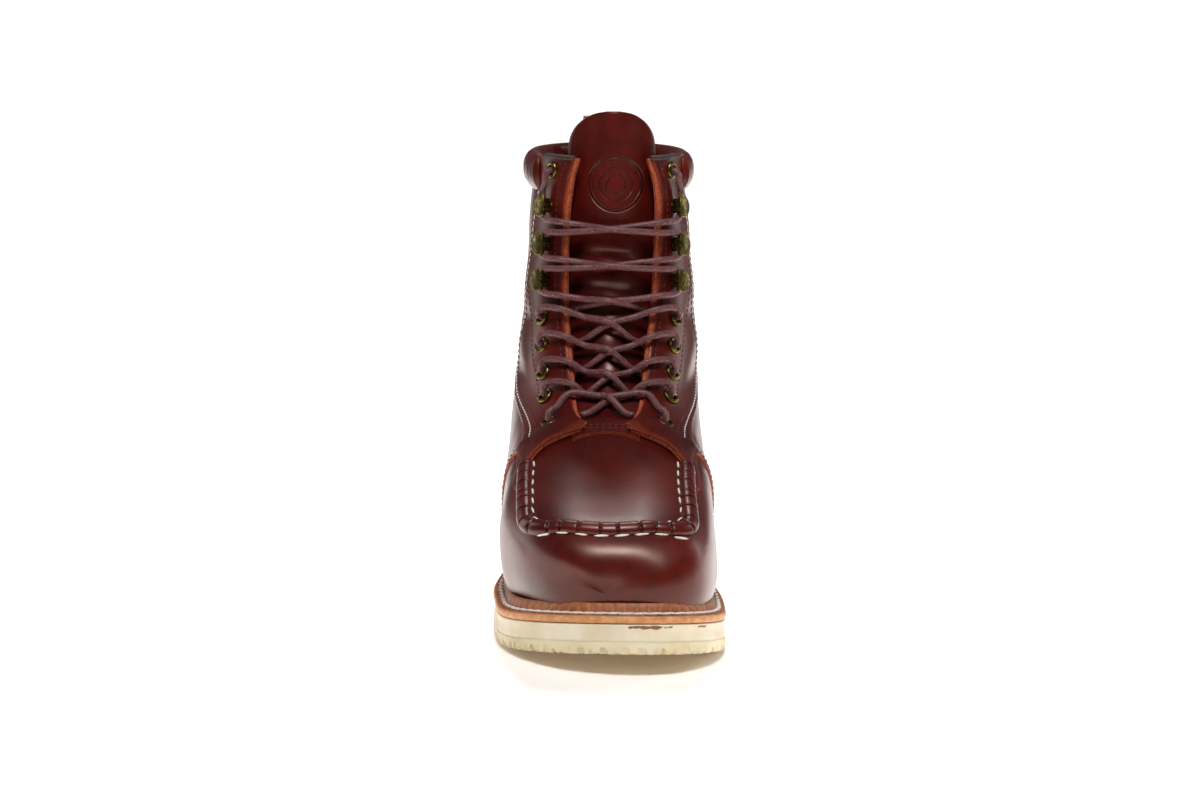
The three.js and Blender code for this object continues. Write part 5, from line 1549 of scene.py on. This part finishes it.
# The lace is one round braided waxed cord, 3.3 mm thick, held by the boot along its whole length.
# It crosses over the tongue from row to row, and both ends go down into the top eyelets.
lace_braid, tree, shader = new_finish("waxed_cotton_lace")
where = add_node(tree, "ShaderNodeTexCoord").outputs["Object"]
tone = add_node(tree, "ShaderNodeTexNoise", Vector=where, Scale=500.0, Detail=3.0)
body = add_node(tree, "ShaderNodeValToRGB", Fac=tone.outputs["Fac"],
                stops=[(0.3, "#5a2b2d"), (0.55, "#733f40"), (0.75, "#8a5552")]).outputs["Color"]
# Painted shade: the lace is darkened towards #351517 in the valleys between the braid's strands.
braid_valley_shade = add_node(tree, "ShaderNodeAttribute", {"attribute_name": "braid_valley_shade"}).outputs["Fac"]
body = add_node(tree, "ShaderNodeMix", {"data_type": "RGBA"}, i0=braid_valley_shade, i6=body, i7=hex_colour("#351517"))
tree.links.new(body.outputs[2], shader.inputs["Base Color"])
shader.inputs["Roughness"].default_value = 0.5
shader.inputs["Sheen Weight"].default_value = 0.15

braid_pitch = 2.6
lace_sides = 20


def through_points(points, step):
    """A centripetal curve through the points, in equal steps."""
    points = np.array(points, float)
    padded = np.concatenate([[2 * points[0] - points[1]], points, [2 * points[-1] - points[-2]]])
    made = []
    for at in range(len(padded) - 3):
        p0, p1, p2, p3 = padded[at : at + 4]
        t1 = np.linalg.norm(p1 - p0) ** 0.5
        t2 = t1 + np.linalg.norm(p2 - p1) ** 0.5
        t3 = t2 + np.linalg.norm(p3 - p2) ** 0.5
        t = np.linspace(t1, t2, 24, endpoint=at == len(padded) - 4)[:, None]
        a1 = (t1 - t) / t1 * p0 + t / t1 * p1
        a2 = (t2 - t) / (t2 - t1) * p1 + (t - t1) / (t2 - t1) * p2
        a3 = (t3 - t) / (t3 - t2) * p2 + (t - t2) / (t3 - t2) * p3
        b1 = (t2 - t) / t2 * a1 + t / t2 * a2
        b2 = (t3 - t) / (t3 - t1) * a2 + (t - t1) / (t3 - t1) * a3
        made.append((t2 - t) / (t2 - t1) * b1 + (t - t1) / (t2 - t1) * b2)
    line = np.concatenate(made)
    length = np.linalg.norm(np.diff(line, axis=0), axis=1).sum()
    return even_steps(line, max(int(length / step), 8))


def braided_cord(name, points):
    line = through_points(points, 0.45)
    run = unit(np.gradient(line, axis=0))
    side = np.zeros_like(line)
    side[0] = unit(np.cross(run[0], [0.31, 0.2, 0.93]))
    for at in range(1, len(line)):
        side[at] = unit(side[at - 1] - run[at] * np.dot(side[at - 1], run[at]))
    rise = np.cross(run, side)
    turn = np.linspace(0, 2 * np.pi, lace_sides, endpoint=False)[None, :]
    along = (np.arange(len(line)) * 0.45)[:, None]
    twist = 2 * np.pi * along / braid_pitch / 2
    bumps = np.sqrt(np.abs(np.sin(2.5 * turn + twist) * np.sin(2.5 * turn - twist)))
    radius = lace_radius * (0.93 + 0.10 * bumps)
    tube = line[:, None, :] + (side[:, None, :] * np.cos(turn)[..., None]
                               + rise[:, None, :] * np.sin(turn)[..., None]) * radius[..., None]
    faces = ring_faces(len(line), lace_sides, lids=True)
    # This flag is the mask of the painted shade between the strands.
    return outward_faces(new_piece(name, tube.reshape(-1, 3), faces, [lace_braid],
                                   flags={"braid_valley_shade": (1 - bumps).ravel() ** 2}))


def lace_over(height, across, lift, surface):
    row = row_at_height(np.asarray(float(height)), across)
    out = facing_out if surface == "facing" else tongue_face(row, across)
    out = out + lace_radius + 2 * clearance + lift
    return front_point(row, across) + front_normal(row, across) * out


def edge_at(height):
    return float(throat_half(np.asarray(float(height))))


under_hook = facing_out + clearance + hook_foot + clearance + lace_radius
hook_away = 0.6


def lace_path(lower, upper, sign):
    low_height, low_hooks, low_places = lower
    high_height, high_hooks, high_places = upper
    start_place = low_places[1 if sign > 0 else 0]
    end_place = high_places[0 if sign > 0 else 1]
    rise = high_height - low_height
    points = []
    if low_hooks:
        points += [start_place.point(hook_away, 0.4, under_hook),
                   start_place.point(hook_away, 4.4, under_hook)]
        points.append(lace_over(low_height + 6.4, -sign * (edge_at(low_height) + 5.2), 0.9, "facing"))
        points.append(lace_over(low_height + 6.9, -sign * edge_at(low_height), 0.6, "facing"))
    else:
        start = low_height + rise * 0.3
        points.append(lace_over(start, -sign * (edge_at(start) - lace_radius - 2 * clearance), 0, "tongue"))
        points.append(lace_over(start + rise * 0.1, -sign * edge_at(start) * 0.6, 0.6, "tongue"))
    crest = high_height - 6.8 if high_hooks else high_height + 4.6
    start = low_height + 6.9 if low_hooks else low_height + rise * 0.4
    points.append(lace_over((start + crest) / 2, 0.0, 0.7 if sign > 0 else 3.9, "tongue"))
    points.append(lace_over(mix(start, crest, 0.8), sign * edge_at(high_height) * 0.6,
                            3.4 if high_hooks else 2.6, "tongue"))
    points.append(lace_over(crest, sign * edge_at(high_height), 0.8, "facing"))
    if high_hooks:
        points.append(lace_over(crest + 0.2, sign * (edge_at(high_height) + 5.2), 0.9, "facing"))
        points += [end_place.point(hook_away, -4.4, under_hook), end_place.point(hook_away, -0.4, under_hook)]
    else:
        points += [end_place.point(-5.2, 3.2, facing_out + 3.9), end_place.point(-2.4, 1.5, facing_out + 4.0),
                   end_place.point(-0.7, 0.4, facing_out + 2.5), end_place.point(0, 0, facing_out - 0.8)]
    return points


lowest_height, _, (right_place, left_place) = lace_rows[0]
bar = []
for sign, spot in ((1, right_place), (-1, left_place)):
    half = [spot.point(0, 0, facing_out - 0.8), spot.point(-0.5, 0.9, facing_out + 2.5),
            spot.point(-2, 3, facing_out + 4), spot.point(-5, 5.6, facing_out + 3.6),
            lace_over(lowest_height + 10.6, sign * (edge_at(lowest_height + 9) + 1), 0.3, "facing")]
    bar.append(half)
bar_points = [*bar[0], lace_over(lowest_height + 10.4, 0.0, 2.4, "tongue"), *bar[1][::-1]]
for number in range(len(lace_rows) - 2):
    runs = [braided_cord("run", lace_path(*lace_rows[number : number + 2], sign)) for sign in (1, -1)]
    if number == 0:
        runs.append(braided_cord("bar", bar_points))
    node = f"lace_cross_{number}" if number else "lace_bottom"
    dress(join(f"lace_crossing_{number + 1}", runs), "waxed_lace", node)

for at, side in enumerate(sides):
    low_spot, high_spot = lace_rows[7][2][at], lace_rows[8][2][at]
    points = [low_spot.point(hook_away, 0.4, under_hook), low_spot.point(hook_away, 4.4, under_hook),
              low_spot.point(hook_away, 8.2, facing_out + 3.4), high_spot.point(0.4, -5.4, facing_out + 3.7),
              high_spot.point(0.3, -2.6, facing_out + 3.8), high_spot.point(0, -0.7, facing_out + 2.4),
              high_spot.point(0, 0, facing_out - 0.8)]
    dress(braided_cord(f"lace_end_run_{side}", points), "waxed_lace", f"lace_end_{side}")


# The pull loop is a folded strip sewn inside the collar at the back, its cut edges raw.
# It stands above the collar so that a finger can draw the boot on.
loop_width = 22.0
loop_thickness = 2.0
loop_rise = 15.0
collar_roll = 4.6
back_point = section_at(np.asarray(float(collar_row)))[1]
loop_depth = loop_thickness * 2 + 1
loop_y = back_point[1] - (upper_wall + clearance + loop_thickness) - loop_depth - collar_roll
foot, top = collar_height - loop_rise, collar_height + loop_rise
strip = [(loop_y + loop_thickness / 2, foot), (loop_y + loop_thickness / 2, top - loop_depth / 2)]
strip += [(loop_y + loop_depth / 2 - (loop_depth - loop_thickness) / 2 * math.cos(t),
           top - loop_depth / 2 + (loop_depth - loop_thickness) / 2 * math.sin(t))
          for t in np.linspace(0, np.pi, 14)]
strip += [(loop_y + loop_depth - loop_thickness / 2, top - loop_depth / 2),
          (loop_y + loop_depth - loop_thickness / 2, foot)]
strip = even_steps(np.array(strip), 90)
run = np.gradient(strip, axis=0)
run /= np.linalg.norm(run, axis=1)[:, None]
sideways = np.stack([-run[:, 1], run[:, 0]], 1)
half_thick = loop_thickness / 2
across_line = np.linspace(-loop_width / 2, loop_width / 2, 23)
sheets = []
for off in (half_thick, -half_thick):
    edge = strip + sideways * off
    sheet = np.empty((90, 23, 3))
    sheet[..., 0] = back_point[0] + across_line[None, :] * (1 - 0.03 * np.sin(np.linspace(0, 3, 90))[:, None])
    sheet[..., 1] = edge[:, 0][:, None]
    sheet[..., 2] = edge[:, 1][:, None]
    sheets.append(sheet)
front_part, back_part, walls = sheet_faces(90, 23)
index = [0] * (len(front_part) + len(back_part)) + [1] * len(walls)
pull_loop = new_piece("pull_loop_strip", np.concatenate([s.reshape(-1, 3) for s in sheets]),
                      np.concatenate([front_part, back_part, walls]).tolist(), [pull_up, raw_edge], index,
                      {"edge_room": np.full(2 * 90 * 23, 9.0)})
outward_faces(pull_loop)
pull_loop.data.set_sharp_from_angle(angle=math.radians(50))
dress(pull_loop, "oxblood_leather", "pull_loop")


# The studio: a pale floor that runs far back, a broad soft sun behind the boot and side panels.
# The front stays deep and dark with soft highlights, and a warm soft shadow falls before the toe.
floor_finish, tree, shader = new_finish("pale_studio_floor")
shader.inputs["Base Color"].default_value = hex_colour("#fffdfb")
shader.inputs["Roughness"].default_value = 0.9
shader.inputs["Specular IOR Level"].default_value = 0.1
shader.inputs["Emission Color"].default_value = hex_colour("#ffdfc0")
shader.inputs["Emission Strength"].default_value = 0.12
floor_mesh = bpy.data.meshes.new("studio_floor")
floor_mesh.from_pydata([(-0.42, -0.46, 0), (0.46, -0.46, 0), (15, 60, 0), (-15, 60, 0)], [], [(0, 1, 2, 3)])
floor_mesh.materials.append(floor_finish)
studio_floor = bpy.data.objects.new("studio_floor", floor_mesh)
bpy.context.scene.collection.objects.link(studio_floor)

world = bpy.data.worlds.new("dim_surround")
world.use_nodes = True
world.node_tree.nodes["Background"].inputs["Color"].default_value = (1.0, 1.0, 1.0, 1.0)
world.node_tree.nodes["Background"].inputs["Strength"].default_value = 0.07
bpy.context.scene.world = world
bpy.context.scene.view_settings.view_transform = "Standard"

sun_data = bpy.data.lights.new("soft_sun", "SUN")
sun_data.energy = 4.3
sun_data.angle = math.radians(13)
soft_sun = bpy.data.objects.new("soft_sun", sun_data)
soft_sun.rotation_euler = Vector((0.04, 1.1, 1.0)).to_track_quat("Z", "Y").to_euler()
bpy.context.scene.collection.objects.link(soft_sun)
sunlit = bpy.data.collections.new("lit_by_the_sun")
sunlit.objects.link(studio_floor)
soft_sun.light_linking.receiver_collection = sunlit


def add_light(name, location, target, size, power):
    """A soft panel of light that faces a point of the boot."""
    data = bpy.data.lights.new(name, "AREA")
    data.shape = "RECTANGLE"
    data.size, data.size_y = size
    data.energy = power
    lamp = bpy.data.objects.new(name, data)
    lamp.location = location
    lamp.rotation_euler = (Vector(location) - Vector(target)).to_track_quat("Z", "Y").to_euler()
    bpy.context.scene.collection.objects.link(lamp)


add_light("overhead", (0.05, -0.62, 1.25), (0, -0.05, 0.08), (0.45, 0.35), 13)
add_light("rear_softbox", (0.0, 0.9, 1.3), (0, -0.05, 0.08), (0.3, 0.3), 5)
add_light("left_panel", (-1.3, 0.75, 0.6), (0, 0, 0.12), (0.4, 1.2), 3.5)
add_light("right_panel", (1.3, 0.75, 0.6), (0, 0, 0.12), (0.4, 1.2), 4.5)
